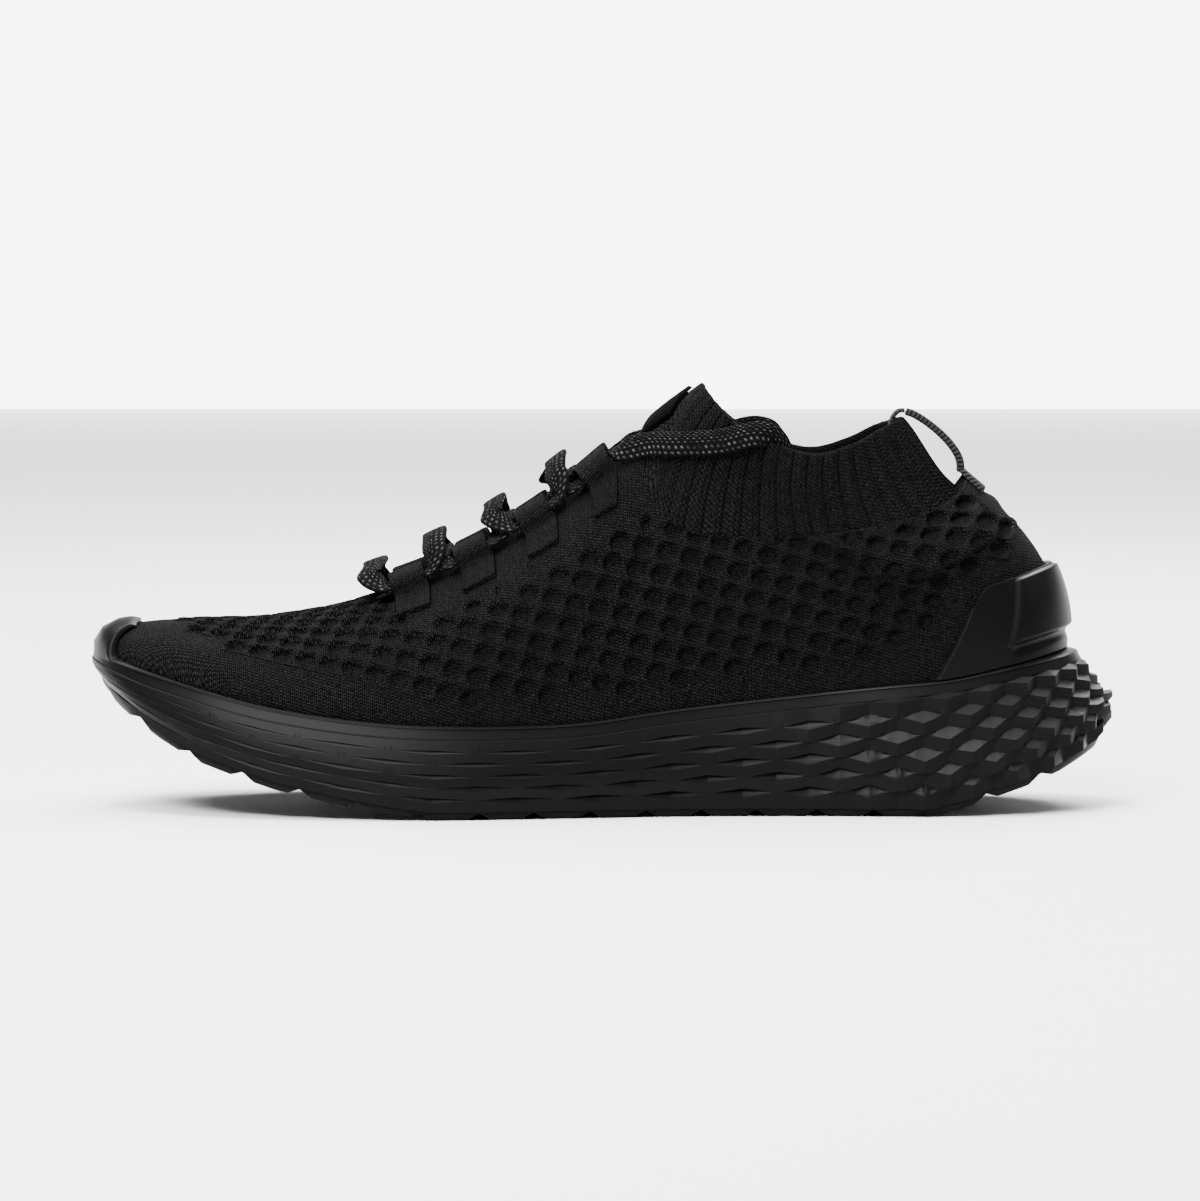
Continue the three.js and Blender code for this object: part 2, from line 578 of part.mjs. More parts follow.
// ---------------------------------------------------------------- heel counter
const COUNTER_FRONT = 0.829;     // share of the half girth at its front bottom corner
function counterPoint(side, p, q, h) {
  const front = COUNTER_FRONT + 0.042 * q;
  const s = mix(front, 1, p);
  const u = side < 0 ? s / 2 : wrapShare(1 - s / 2);
  const low = climb(u, RIM_HEIGHT + 0.5);
  const rise = mix(23.5, 25, smooth(p)) - 5 * (1 - smooth(p / 0.25)) ** 2;
  const high = climb(u, rise);
  return skin(u, mix(low, high, q), h);
}
function heelCounter() {
  const halfway = [0, 0.08, 0.2, 0.34, 0.46, 0.54, 0.7, 0.86, 1];
  const columns = [...halfway.map((p) => [-1, p]),
    ...halfway.slice(0, -1).reverse().map((p) => [1, p])];
  const rows = [0, 0.18, 0.32, 0.5, 0.72, 0.9, 1];
  const block = (p, q) => smooth((p - 0.44) / 0.1) * smooth((q - 0.14) / 0.14);
  const front = ([side, p], q) => counterPoint(side, p, q,
    GAP + COUNTER_THICK * mix(0.55, 1, Math.min(1, 4 * p)) + BLOCK_RISE * block(p, q));
  const back = ([side, p], q) => counterPoint(side, p, q, GAP);
  return slab(columns, rows, front, back, false);
}

// ---------------------------------------------------------------- things laid on the upper
// t runs across the throat: 0 on the ridge, negative to the lateral side.
function throat(s, t) {
  return { u: t <= 0 ? s / 2 : wrapShare(1 - s / 2), v: 1 - Math.abs(t) };
}
function throatPoint(s, t, h) {
  const { u, v } = throat(s, t);
  return skin(u, v, h);
}
// A local sheet on the face: a runs along the ridge, q across it, h away from the face.
function sheetFrame(s0, t0) {
  const e = 1e-3;
  const ds = throatPoint(s0 + e, t0, 0).sub(throatPoint(s0 - e, t0, 0)).divideScalar(2 * e);
  const dt = throatPoint(s0, t0 + e, 0).sub(throatPoint(s0, t0 - e, 0)).divideScalar(2 * e);
  const n = faceNormal(throat(s0, t0).u, throat(s0, t0).v);
  const ridge = ridgeTangent(ridgeX(s0));
  const e1 = ridge.addScaledVector(n, -ridge.dot(n)).normalize();
  const e2 = n.clone().cross(e1);
  const [g11, g12, g22] = [ds.dot(ds), ds.dot(dt), dt.dot(dt)];
  const det = g11 * g22 - g12 * g12;
  return (a, q, h) => {
    const d = e1.clone().multiplyScalar(a).addScaledVector(e2, q);
    const [b1, b2] = [d.dot(ds), d.dot(dt)];
    return throatPoint(s0 + (g22 * b1 - g12 * b2) / det, t0 + (g11 * b2 - g12 * b1) / det, h);
  };
}
function lay(geometry, place) {
  const p = geometry.attributes.position;
  for (let i = 0; i < p.count; i += 1) {
    const at = place(p.getX(i), p.getY(i), p.getZ(i));
    p.setXYZ(i, at.x, at.y, at.z);
  }
  return weld(geometry);
}

// Ribbon loop: a sewn end that lies on the knit and a folded tunnel that holds the lace.
function loopShape() {
  const half = TUNNEL_WIDTH / 2;
  const r = LOOP_RIBBON;
  const top = GAP + 2 * r + TUNNEL_HEIGHT;
  const end = -half - r - LOOP_PATCH;
  const ring = [[end, GAP], [end + 4, GAP], [end + 8, GAP], [-half, GAP], [0, GAP], [half, GAP],
    [half + r, GAP + r + 0.6], [half + r, top - 1.4], [half - 0.6, top], [0, top],
    [-half + 1, top], [-half - r, GAP + 2.6 * r], [end + 8, GAP + 1.4 * r],
    [end + 4, GAP + 1.3 * r], [end, GAP + 1.2 * r]];
  const hole = [[-half + 0.4, GAP + r], [0, GAP + r], [half - 0.2, GAP + r],
    [half, top - r - 0.8], [half - 1.2, top - r], [0, top - r], [-half + 1.5, top - r],
    [-half, GAP + 1.8 * r]];
  const shape = new THREE.Shape(ring.map(([x, y]) => new THREE.Vector2(x, y)));
  shape.holes.push(new THREE.Path(hole.map(([x, y]) => new THREE.Vector2(x, y))));
  return shape;
}
function laceLoop(side, x) {
  const g = new THREE.ExtrudeGeometry(loopShape(),
    { depth: LOOP_WIDTH, steps: 2, bevelEnabled: false });
  const place = sheetFrame(shareAtRidge(x), side * LOOP_T);
  return lay(g, (q, h, depth) => place(depth - LOOP_WIDTH / 2, -side * q, h));
}

function tongueLabel() {
  const g = new THREE.BoxGeometry(LABEL_LENGTH, LABEL_WIDTH, LABEL_THICK, 3, 8, 1);
  const place = sheetFrame(shareAtRidge(21.6), 0);
  return lay(g, (a, q, h) => place(a, q, h + GAP + LABEL_THICK / 2));
}

// ---------------------------------------------------------------- laces
// A flat band along points, each with the direction that its face looks.
function band(points, faces, width, thick) {
  const section = [[0.5, 0.22], [0.36, 0.5], [-0.36, 0.5], [-0.5, 0.22], [-0.5, -0.22],
    [-0.36, -0.5], [0.36, -0.5], [0.5, -0.22]];
  const body = new Body();
  const n = points.length;
  const rings = points.map((p, i) => {
    const t = points[Math.min(n - 1, i + 1)].clone().sub(points[Math.max(0, i - 1)]).normalize();
    const up = faces[i].clone().addScaledVector(t, -faces[i].dot(t)).normalize();
    const out = up.clone().cross(t);
    return section.map(([a, b]) => body.add(p.clone().addScaledVector(out, a * width)
      .addScaledVector(up, b * thick)));
  });
  const m = section.length;
  for (let i = 0; i < n - 1; i += 1) {
    for (let k = 0; k < m; k += 1) {
      const l = (k + 1) % m;
      body.quad(rings[i][k], rings[i][l], rings[i + 1][l], rings[i + 1][k]);
    }
  }
  for (let k = 1; k < m - 1; k += 1) {
    body.faces.push(rings[0][0], rings[0][k + 1], rings[0][k]);
    body.faces.push(rings[n - 1][0], rings[n - 1][k], rings[n - 1][k + 1]);
  }
  return body.geometry();
}

const bandThrough = (stations) => band(stations.map((s) => s.point),
  stations.map((s) => s.look), LACE_WIDTH, LACE_THICK);

const LACE_LIFT = GAP + LOOP_RIBBON + TUNNEL_HEIGHT / 2 - 0.1;
const station = (s, t, h) => {
  const { u, v } = throat(s, t);
  return { point: skin(u, v, h), look: faceNormal(u, v) };
};
// Along each side of the throat the lace runs through a loop, then crosses to the next one.
function throughLoop(side, x) {
  const reach = LOOP_WIDTH / 2 + 0.8;
  const place = sheetFrame(shareAtRidge(x), side * LOOP_T);
  return [-reach - 2.6, -reach, 0, reach, reach + 2.6].map((a) => ({ point: place(a, 0, LACE_LIFT),
    look: place(a, 0, LACE_LIFT).sub(place(a, 0, 0)).normalize() }));
}
function crossing(side, x0, x1, lift) {
  const gap = x1 - x0;
  const at = (f, t, h) => station(shareAtRidge(x0 + gap * f), t, h);
  return [at(0.47, side * LOOP_T * 0.6, lift + 0.6), at(0.48, 0, lift),
    at(0.49, -side * LOOP_T * 0.6, lift + 0.6)];
}
function laceRun() {
  const strand = (start) => {
    const list = [];
    let side = start;
    LOOP_X.forEach((x, i) => {
      list.push(...throughLoop(side, x));
      if (i < LOOP_X.length - 1) {
        list.push(...crossing(side, x, LOOP_X[i + 1], start < 0 ? 1.6 : 4.2));
        side = -side;
      }
    });
    list.pop();
    return list;
  };
  const front = LOOP_X[0] - 9.5;
  const bar = [station(shareAtRidge(front), LOOP_T * 0.7, 2.6),
    station(shareAtRidge(front - 0.6), 0, 1.8), station(shareAtRidge(front), -LOOP_T * 0.7, 2.6)];
  return [...strand(1).reverse(), ...bar, ...strand(-1)];
}

// Where a lace end lies beside the tongue: share of the half girth, height on the face.
const TAIL_COURSE = [[0.545, 0.72], [0.59, 0.725], [0.63, 0.82], [0.665, 0.91], [0.685, 0.955]];

// A lace end: from the last loop to the edge of the opening, over it, down inside and along
// the foot bed toward the toe.
function tailStations(side) {
  const place = sheetFrame(shareAtRidge(LOOP_X[3]), side * LOOP_T);
  const exit = (a, h) => ({ point: place(a, 0, h), look: place(a, 0, h).sub(place(a, 0, 0))
    .normalize() });
  const over = (c, up, out) => {
    const { u, v } = collarShare(side < 0 ? c : 1 - c, 1);
    return { point: skin(u, v, out).add(vec(0, 0, up)), look: faceNormal(u, v) };
  };
  const beside = ([s, v]) => {
    const u = side < 0 ? s / 2 : 1 - s / 2;
    return { point: skin(u, v, LACE_THICK / 2 + 1.5), look: faceNormal(u, v) };
  };
  const free = (x, y, z, look) => ({ point: vec(x, y * side, z), look: vec(...look) });
  const rest = (x, y) => {
    const z = featherZ(x) + LINER_HIGH + GAP + COVER_THICK + GAP + LACE_THICK / 2;
    return { point: vec(x, y * side, z), look: vec(0, 0, 1) };
  };
  const landing = 38;
  const reach = LOOP_WIDTH / 2 + 1.4;
  const list = [exit(reach, LACE_LIFT), exit(reach + 3, LACE_LIFT)];
  TAIL_COURSE.forEach((at) => list.push(beside(at)));
  list.push(over(0.14, 0.9, 3), over(0.156, 3.2, 0.9), over(0.166, 3.3, -2.9));
  list.push(over(0.174, -1.2, -6.2));
  list.push(free(49, 15, 97, [0, side, 0]), free(50, 14, 74, [0, side, 0]));
  list.push(free(48, 13.5, 50, [-0.6, side, 0.3]));
  [0, 6, 14, 30, 55, 85, TAIL_HIDDEN].forEach((d) => list.push(rest(landing - d, 13 - d / 40)));
  return list;
}

function aglet(side) {
  const list = tailStations(side);
  const a = list[list.length - 2].point;
  const b = list[list.length - 1].point;
  const dir = b.clone().sub(a).setZ(0).normalize();
  const points = [0, 0.5, 1].map((f) => {
    const p = b.clone().addScaledVector(dir, GAP + AGLET_LENGTH * f);
    p.z = featherZ(p.x) + LINER_HIGH + 2 * GAP + COVER_THICK + AGLET_SIZE / 2;
    return p;
  });
  return band(points, points.map(() => vec(0, 0, 1)), AGLET_SIZE, AGLET_SIZE * 0.9);
}

// ---------------------------------------------------------------- pull tab
// The strap bows away from the line between its two sewn ends, in the middle plane.
const TAB_BOW = [[89.4, 115.2], [91.6, 114.4], [95.6, 111.9], [99.8, 108.4], [103, 104.8],
  [104.9, 101.4]];
function ribbonShape(points, thick) {
  const n = points.length;
  const side = (sign) => points.map((p, i) => {
    const [a, b] = [points[Math.max(0, i - 1)], points[Math.min(n - 1, i + 1)]];
    const l = Math.hypot(b[0] - a[0], b[1] - a[1]);
    return new THREE.Vector2(p[0] - sign * (b[1] - a[1]) / l * thick / 2,
      p[1] + sign * (b[0] - a[0]) / l * thick / 2);
  });
  return new THREE.Shape([...side(1), ...side(-1).reverse()]);
}
function ribbonInPlane(points, thick, width) {
  const at = points.map(([x, z]) => [x * LENGTH_SCALE, z]);
  const g = new THREE.ExtrudeGeometry(ribbonShape(at, thick),
    { depth: width, bevelEnabled: false });
  g.rotateX(Math.PI / 2);
  g.translate(0, width / 2, 0);
  return weld(g);
}
const pullTab = () => ribbonInPlane(TAB_BOW, TAB_THICK, TAB_WIDTH);
const topAnchor = () => ribbonInPlane([[88.8, 115.6], [87, 115.3], [85.2, 113], [84.7, 109],
  [84.9, 104]], 1.2, TAB_WIDTH + 1);
function lowAnchor() {
  const v = 0.68;
  const reach = facePoint(0.502, v).distanceTo(facePoint(0.498, v)) / 0.004;
  const half = (TAB_WIDTH / 2 + 1) / reach;
  const at = (h) => (du, q) => skin(0.5 + du, q, GAP + h);
  return slab(steps(-half, half, 3), steps(0.64, 0.725, 2), at(1.2), at(0), false);
}

// ---------------------------------------------------------------- the shoe
const MATERIALS = {
  knit: { color: 0x26272a, roughness: 0.95, metalness: 0 },
  rib: { color: 0x222326, roughness: 0.95, metalness: 0 },
  lining: { color: 0x1c1d1f, roughness: 0.95, metalness: 0 },
  rubber: { color: 0x2a2b2d, roughness: 0.62, metalness: 0 },
  foam: { color: 0x2c2d30, roughness: 0.58, metalness: 0 },
  inner_foam: { color: 0x3a3b3e, roughness: 0.9, metalness: 0 },
  board: { color: 0x8b8578, roughness: 0.95, metalness: 0 },
  moulding: { color: 0x2a2c2f, roughness: 0.38, metalness: 0 },
  webbing: { color: 0x303236, roughness: 0.85, metalness: 0 },
  lace: { color: 0x34363a, roughness: 0.8, metalness: 0 },
  label: { color: 0x17181a, roughness: 0.5, metalness: 0 },
  plastic: { color: 0x1a1b1d, roughness: 0.3, metalness: 0 },
};
const shoe = new THREE.Group();
function piece(name, slot, geometry) {
  const mesh = new THREE.Mesh(geometry, new THREE.MeshStandardMaterial(MATERIALS[slot]));
  mesh.name = name;
  shoe.add(mesh);
}

const SIDES = { lateral: -1, medial: 1 };
piece('outsole', 'rubber', outsole());
piece('midsole', 'foam', midsole());
piece('strobel_board', 'board', bedPlate(KNIT_THICK + 2 * GAP, BOARD_LOW, BOARD_HIGH));
piece('sockliner', 'inner_foam', bedPlate(LINER_INSET, LINER_LOW, LINER_HIGH));
piece('sockliner_cover', 'lining',
  bedPlate(LINER_INSET, LINER_HIGH + GAP, LINER_HIGH + GAP + COVER_THICK));
piece('knit_upper', 'knit', knitUpper());
piece('rib_collar', 'rib', ribCollar());
piece('bootie_lining', 'lining', lining());
piece('toe_puff', 'plastic', toePuff());
piece('heel_stiffener', 'plastic', heelStiffener());
piece('heel_counter', 'moulding', heelCounter());
piece('tongue_label', 'label', tongueLabel());
Object.entries(SIDES).forEach(([name, side]) => {
  piece(`ankle_pad_${name}`, 'inner_foam', anklePad(side));
  LOOP_X.forEach((x, i) => piece(`lace_loop_${name}_${i + 1}`, 'webbing', laceLoop(side, x)));
  piece(`lace_tail_${name}`, 'lace', bandThrough(tailStations(side)));
  piece(`aglet_${name}`, 'plastic', aglet(side));
});
piece('lace', 'lace', bandThrough(laceRun()));
piece('heel_pull_tab', 'webbing', pullTab());
piece('pull_tab_anchor_top', 'webbing', topAnchor());
piece('pull_tab_anchor_low', 'webbing', lowAnchor());

export default shoe;
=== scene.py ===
# %% [markdown]
# # A knitted running shoe
# A real running shoe is pulled over a last, a hard model of the foot, and every soft piece takes
# the last's shape. Here one mathematical face plays that part. It is drawn between the feather
# line, where cloth meets sole, and the top line, which is the ridge of the tongue and the ankle
# edge. Knit, rib, heel counter, lace loops and lining all lie on it, a little further out or in.
# Sculpting each piece by hand would also work, but then a change to one would not move the rest.
# All working sizes are millimetres and become metres when a mesh is made.
# %% Frame
import math
import bmesh
import bpy
import numpy as np
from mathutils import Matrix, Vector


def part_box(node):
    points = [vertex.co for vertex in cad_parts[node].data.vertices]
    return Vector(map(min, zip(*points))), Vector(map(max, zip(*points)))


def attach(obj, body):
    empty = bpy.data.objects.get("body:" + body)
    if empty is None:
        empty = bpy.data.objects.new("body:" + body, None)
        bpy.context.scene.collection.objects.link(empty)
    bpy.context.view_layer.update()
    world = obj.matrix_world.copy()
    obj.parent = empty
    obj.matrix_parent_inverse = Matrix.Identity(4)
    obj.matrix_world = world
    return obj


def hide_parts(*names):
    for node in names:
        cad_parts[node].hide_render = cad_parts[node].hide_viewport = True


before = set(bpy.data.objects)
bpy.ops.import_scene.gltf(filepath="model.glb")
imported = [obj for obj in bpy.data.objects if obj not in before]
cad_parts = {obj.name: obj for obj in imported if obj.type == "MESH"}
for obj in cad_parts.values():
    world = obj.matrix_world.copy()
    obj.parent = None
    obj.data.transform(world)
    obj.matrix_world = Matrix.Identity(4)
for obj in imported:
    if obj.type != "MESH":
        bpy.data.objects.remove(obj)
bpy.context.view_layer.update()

MM = 0.001

# %% [markdown]
# ## Sizes
# These tables are the maker's pattern and say where the last runs: its outline in plan, the
# ground and feather heights along it, how far the sidewall stands out, and the ridge and ankle
# edge at the top. They hold only the points that the shape needs, and curves join them. The
# frame's own boxes stretch them, so a longer or wider frame gives a longer or wider shoe.
# %% Tables
OUTLINE = [
    [-144.8, 7], [-141.5, -10], [-131, -25.5], [-110, -38], [-80, -45.3], [-48, -47.5],
    [-12, -42.5], [25, -35.6], [62, -32.8], [95, -32.6], [118, -27], [130, -15],
    [134.5, 0], [130, 15], [118, 26.5], [95, 31.6], [62, 30.6], [25, 31.4],
    [-12, 37.5], [-46, 45.3], [-78, 47.6], [-108, 43], [-129, 33], [-141, 21]]
HEEL = 12
GROUND = [[-150, 38], [-143, 32], [-127, 22], [-117, 16.4], [-105, 12.2], [-93, 8.4], [-74, 4.2],
          [-60, 1.6], [-48, 0], [96, 0], [104, 2.2], [112, 5], [122, 8.2], [133, 12.4],
          [144, 18], [150, 24]]
FEATHER = [[-150, 46], [-144.8, 44.6], [-121, 37.7], [-94, 31], [-63, 26.9], [-32, 25.8],
           [-6, 26.5], [20, 29.8], [52, 33.3], [84, 36.6], [101, 38.4], [121, 42.6],
           [134.5, 45.6], [140, 46]]
SIDE_LEVELS = [0, 0.3, 0.65, 1]
SIDE_OFFSET = [
    [-144.8, -1.2, 3.2, 4.2, 4.1], [-141, -0.4, 3.2, 3.9, 3.2], [-131, 1.6, 4.2, 3.8, 2.1],
    [-110, 4, 5.6, 4.4, 1.8], [-80, 4.8, 6.4, 4.8, 1.8], [-45, 5, 6.5, 4.8, 1.8],
    [0, 3.6, 5.2, 4.2, 1.8], [50, 4.6, 6.4, 4.8, 1.8], [90, 7, 8.6, 6, 2.2],
    [118, 9.4, 11, 7.6, 3.6], [130, 11, 13.2, 9.2, 5], [134.5, 11.8, 14.7, 10.2, 5.4]]
RIDGE = [[-112, 54.6, 3], [-99.5, 55, 2.6], [-88, 56.6, 2.2], [-76, 58.8, 1.8], [-58.5, 64.4, 1.2],
         [-41, 71.6, 0.6], [-23.4, 81.4, 0], [-6, 93.6, 0], [6, 104, 0], [17.6, 114.9, 0],
         [29.3, 123.6, 0]]
EDGE = [[29.3, 0, 123.6], [30.6, 8, 121.8], [35, 16, 115.8], [42, 22, 109.6], [52.7, 26, 105],
        [63, 27.4, 103], [74, 25.6, 106], [82, 19.5, 110.2], [87, 10, 112.4], [88.4, 0, 113]]
SECTION = [
    [0, 9, 24, 0.02], [0.06, 9.5, 24, 0.05], [0.12, 11, 24, 0.12], [0.19, 13, 24, 0.2],
    [0.27, 15, 25, 0.24], [0.36, 22, 27, 0.2], [0.45, 36, 26, 0.12], [0.52, 46, 24, 0.06],
    [0.56, 46, 24, 0.04], [0.62, 40, 26, 0.02], [0.7, 34, 24, 0.02], [0.8, 28, 22, 0.02],
    [0.9, 30, 25, 0.05], [1, 35, 30, 0.08]]
SEAM = [[0.5, 103], [0.56, 91], [0.62, 82], [0.7, 80], [0.79, 81], [0.88, 86], [0.95, 93], [1, 97]]
TREAD_X = [-133, -118, -102.5, -86, -69, -52, -34.5, -19, -2.9, 13.2, 29, 44.8, 62.4,
           78.6, 95, 111, 127]
LOOP_X = [-53.6, -34.5, -16, 2.8]
LOOP_T = 0.2
FAN_END, PEAK, COLLAR_X, SEAM_RAMP = 0.19, 0.56, 11, 0.05
BUMPER_REACH, BUMPER_RAMP = 0.054, 0.012
RIM_HEIGHT, BUMPER_HEIGHT = 0.8, 8.6
OUTSOLE_THICK, GAP, DISH = 2.3, 0.3, 3.6
KNIT_THICK, LINING_THICK, COLLAR_THICK = 1.6, 1.2, 2.2
COLLAR_INSET, REAR_INSET = 1.0, 3.6
COUNTER_FRONT, COUNTER_THICK = 0.829, 1.8
LOOP_WIDTH, LOOP_PATCH, TUNNEL, TUNNEL_HIGH = 11, 11, 9.6, 3.2


def frame_span(node, axis):
    low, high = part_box(node)
    return (high[axis] - low[axis]) / MM


STRETCH_X = round(frame_span("knit_upper", 0) / 279.6, 2)
STRETCH_Y = round(frame_span("knit_upper", 1) / 97.2, 2)
print("stretch from the frame", STRETCH_X, STRETCH_Y, "knit box",
      frame_span("knit_upper", 0), frame_span("knit_upper", 1))

# %% [markdown]
# ## Curves
# The lines of a shoe have no corners, so each table becomes a smooth curve. A Bezier curve object
# could do that, but then its heights could not be asked for at any x. A cubic between rows can:
# its slope at a row is the slope between that row's neighbours. The outline and the ankle edge
# are also measured by their own run, so that left and right of the shoe can be matched.
# %% Curves


def hermite(a, da, b, db, t):
    """Cubic from a to b with end slopes da and db, over t from 0 to 1."""
    t2, t3 = t * t, t * t * t
    return (2 * t3 - 3 * t2 + 1) * a + (t3 - 2 * t2 + t) * da + (3 * t2 - 2 * t3) * b + (t3 - t2) * db


def along(rows, x, column=1):
    """Cubic through rows (x, a, b, ...) at x, held level beyond the ends."""
    rows = np.asarray(rows, float)
    knots, values = rows[:, 0], rows[:, column]
    k = np.arange(len(knots))
    a, b = np.maximum(k - 1, 0), np.minimum(k + 1, len(knots) - 1)
    slope = (values[b] - values[a]) / (knots[b] - knots[a])
    i = np.searchsorted(knots[1:-1], x)
    h = knots[i + 1] - knots[i]
    t = np.clip((x - knots[i]) / h, 0, 1)
    return hermite(values[i], slope[i] * h, values[i + 1], slope[i + 1] * h, t)


def through(levels, values, w):
    """The same cubic where the values at each level are themselves arrays."""
    n = len(levels)
    low, high = [max(k - 1, 0) for k in range(n)], [min(k + 1, n - 1) for k in range(n)]
    slope = [(values[high[k]] - values[low[k]]) / (levels[high[k]] - levels[low[k]]) for k in range(n)]
    out = values[0] + 0 * w
    for k in range(n - 1):
        h = levels[k + 1] - levels[k]
        t = np.clip((w - levels[k]) / h, 0, 1)
        out = np.where(w > levels[k], hermite(values[k], slope[k] * h, values[k + 1],
                                              slope[k + 1] * h, t), out)
    return out


def smooth(t):
    """Soft step from 0 to 1 while t goes from 0 to 1, level at both ends."""
    t = np.clip(t, 0, 1)
    return t * t * (3 - 2 * t)


def mix(a, b, t):
    """The share t of the way from a to b."""
    return a + (b - a) * t


def xyz(x, y, z):
    """Points from three arrays of coordinates."""
    return np.stack(np.broadcast_arrays(x, y, z), -1).astype(float)


def unit(v):
    """Vectors of length one along v."""
    return v / np.maximum(np.linalg.norm(v, axis=-1, keepdims=True), 1e-12)


def triangle(t):
    """Zigzag of period 1 between -1 and 1."""
    return 4 * np.abs((t - 0.25) % 1 - 0.5) - 1


def outline_rows():
    """Outline points with their share of the girth: 0 at the toe, 0.5 at the heel."""
    pts = np.array(OUTLINE, float)
    chord = np.linalg.norm(np.roll(pts, -1, 0) - pts, axis=1)
    half = [chord[:HEEL].sum(), chord[HEEL:].sum()]
    step = np.where(np.arange(len(pts)) < HEEL, 0.5 * chord / half[0], 0.5 * chord / half[1])
    knots = np.concatenate([[0], np.cumsum(step)[:-1]])
    rows = np.column_stack([knots, pts * [STRETCH_X, STRETCH_Y]])
    before, after = rows[-2:].copy(), rows[:2].copy()
    before[:, 0] -= 1
    after[:, 0] += 1
    return np.vstack([before, rows, after])


def edge_rows():
    """Ankle edge with its share of the run from tongue top to heel, mirrored past both ends."""
    pts = np.array(EDGE, float)
    run = np.concatenate([[0], np.cumsum(np.linalg.norm(np.diff(pts, axis=0), axis=1))])
    rows = np.column_stack([run / run[-1], pts * [STRETCH_X, STRETCH_Y, 1]])
    first, last = rows[1].copy(), rows[-2].copy()
    first[0], first[2] = -first[0], -first[2]
    last[0], last[2] = 2 - last[0], -last[2]
    return np.vstack([first, rows, last])


OUTLINE_ROWS, EDGE_ROWS = outline_rows(), edge_rows()
print("outline rows", OUTLINE_ROWS.shape, "edge rows", EDGE_ROWS.shape)

# %% [markdown]
# ## The face
# The upper of a real shoe is one curved sheet that leans out over the sole and then closes over
# the foot. It is made here as a function of two numbers: u runs round the shoe (toe, lateral side,
# heel, medial side) and v climbs from the feather line to the top line. A loft between drawn ribs
# would give a similar skin, but a function also gives the direction straight out of it at any
# place, and every piece that lies on the shoe needs that.
# %% Face


def share(u):
    """Share of the half girth: 0 at the toe, 1 at the heel, the same on both sides."""
    u = np.asarray(u, float) % 1
    return np.where(u < 0.5, 2 * u, 2 - 2 * u)


def side_of(u):
    """-1 on the lateral side, 1 on the medial side."""
    return np.where(np.asarray(u, float) % 1 < 0.5, -1.0, 1.0)


def ground_z(x):
    """Height of the sole's ground face at x: straight between table rows."""
    g = np.array(GROUND, float)
    return np.interp(x / STRETCH_X, g[:, 0], g[:, 1])


def feather_z(x):
    """Height of the feather line at x."""
    return along(FEATHER, x / STRETCH_X)


def plan(u, off=0.0):
    """Outline point pushed out by off, and its outward direction in plan."""
    u, e = np.asarray(u, float) % 1, 1e-4
    x, y = along(OUTLINE_ROWS, u, 1), along(OUTLINE_ROWS, u, 2)
    tx = along(OUTLINE_ROWS, u + e, 1) - along(OUTLINE_ROWS, u - e, 1)
    ty = along(OUTLINE_ROWS, u + e, 2) - along(OUTLINE_ROWS, u - e, 2)
    length = np.hypot(tx, ty)
    nx, ny = ty / length, -tx / length
    return x + nx * off, y + ny * off, nx, ny


def ridge_x(s):
    """Where on the ridge a line of the upper ends: all toe lines at its foot, then even along it."""
    return mix(RIDGE[0][0], RIDGE[-1][0], np.clip((s - FAN_END) / (PEAK - FAN_END), 0, 1))


def share_at_ridge(x):
    """Share of the half girth whose line ends at x on the ridge."""
    return FAN_END + (PEAK - FAN_END) * (x - RIDGE[0][0]) / (RIDGE[-1][0] - RIDGE[0][0])


def ridge_point(x):
    """Point of the ridge at x."""
    return xyz(x * STRETCH_X, along(RIDGE, x, 2), along(RIDGE, x))


def ridge_tangent(x):
    """Direction of the ridge at x, level across the shoe."""
    a, b = np.maximum(RIDGE[0][0], x - 0.5), np.minimum(RIDGE[-1][0], x + 0.5)
    t = ridge_point(b) - ridge_point(a)
    t[..., 1] = 0
    return unit(t)

# %% [markdown]
# ## Top line
# The upper ends at the ridge of the tongue in front and at the ankle edge behind. A line of cloth
# that climbs from the sole has to arrive there in a sensible direction: along the ridge at the
# toe, across it over the foot, and upright at the ankle. Those directions are worked out here.
# %% Top line
PEAK_X, PEAK_TURN = RIDGE[-1][0], 0.45


def top_point(u):
    """Top line point and the direction in which a line of the upper arrives there."""
    s, side = share(u), side_of(u)
    x = ridge_x(s)
    turn = np.where(s < FAN_END, s / FAN_END, 1 - PEAK_TURN * smooth(x / PEAK_X)) * math.pi / 2
    ahead = ridge_tangent(x) * np.cos(turn)[..., None]
    ahead[..., 1] -= side * np.sin(turn)
    c = (s - PEAK) / (1 - PEAK)
    edge = xyz(along(EDGE_ROWS, c, 1), side * along(EDGE_ROWS, c, 2), along(EDGE_ROWS, c, 3))
    angle = (1 - PEAK_TURN) * math.pi / 2
    start = ridge_tangent(np.full_like(s, PEAK_X)) * math.cos(angle)
    start[..., 1] -= side * math.sin(angle)
    flank, back = xyz(0.05, -side * 0.1, 1.0), np.array([-0.68, 0, 0.73])
    turned = mix(start, flank, smooth(c / 0.4)[..., None])
    turned = mix(turned, back, smooth((c - 0.45) / 0.55)[..., None])
    on_ridge = (s <= PEAK)[..., None]
    return np.where(on_ridge, ridge_point(x), edge), unit(np.where(on_ridge, ahead, turned))

# %% [markdown]
# ## Face of the upper
# Between feather line and top line each line of the upper is a cubic with two handles, as a
# pen-drawn curve is. The normal comes from two small steps along the face, so it stays right when
# a table changes, and skin() lifts a piece off the face by its thickness.
# %% Face of the upper
ANKLE_OUT, ANKLE_S, ANKLE_V = 2.6, 0.865, 0.5


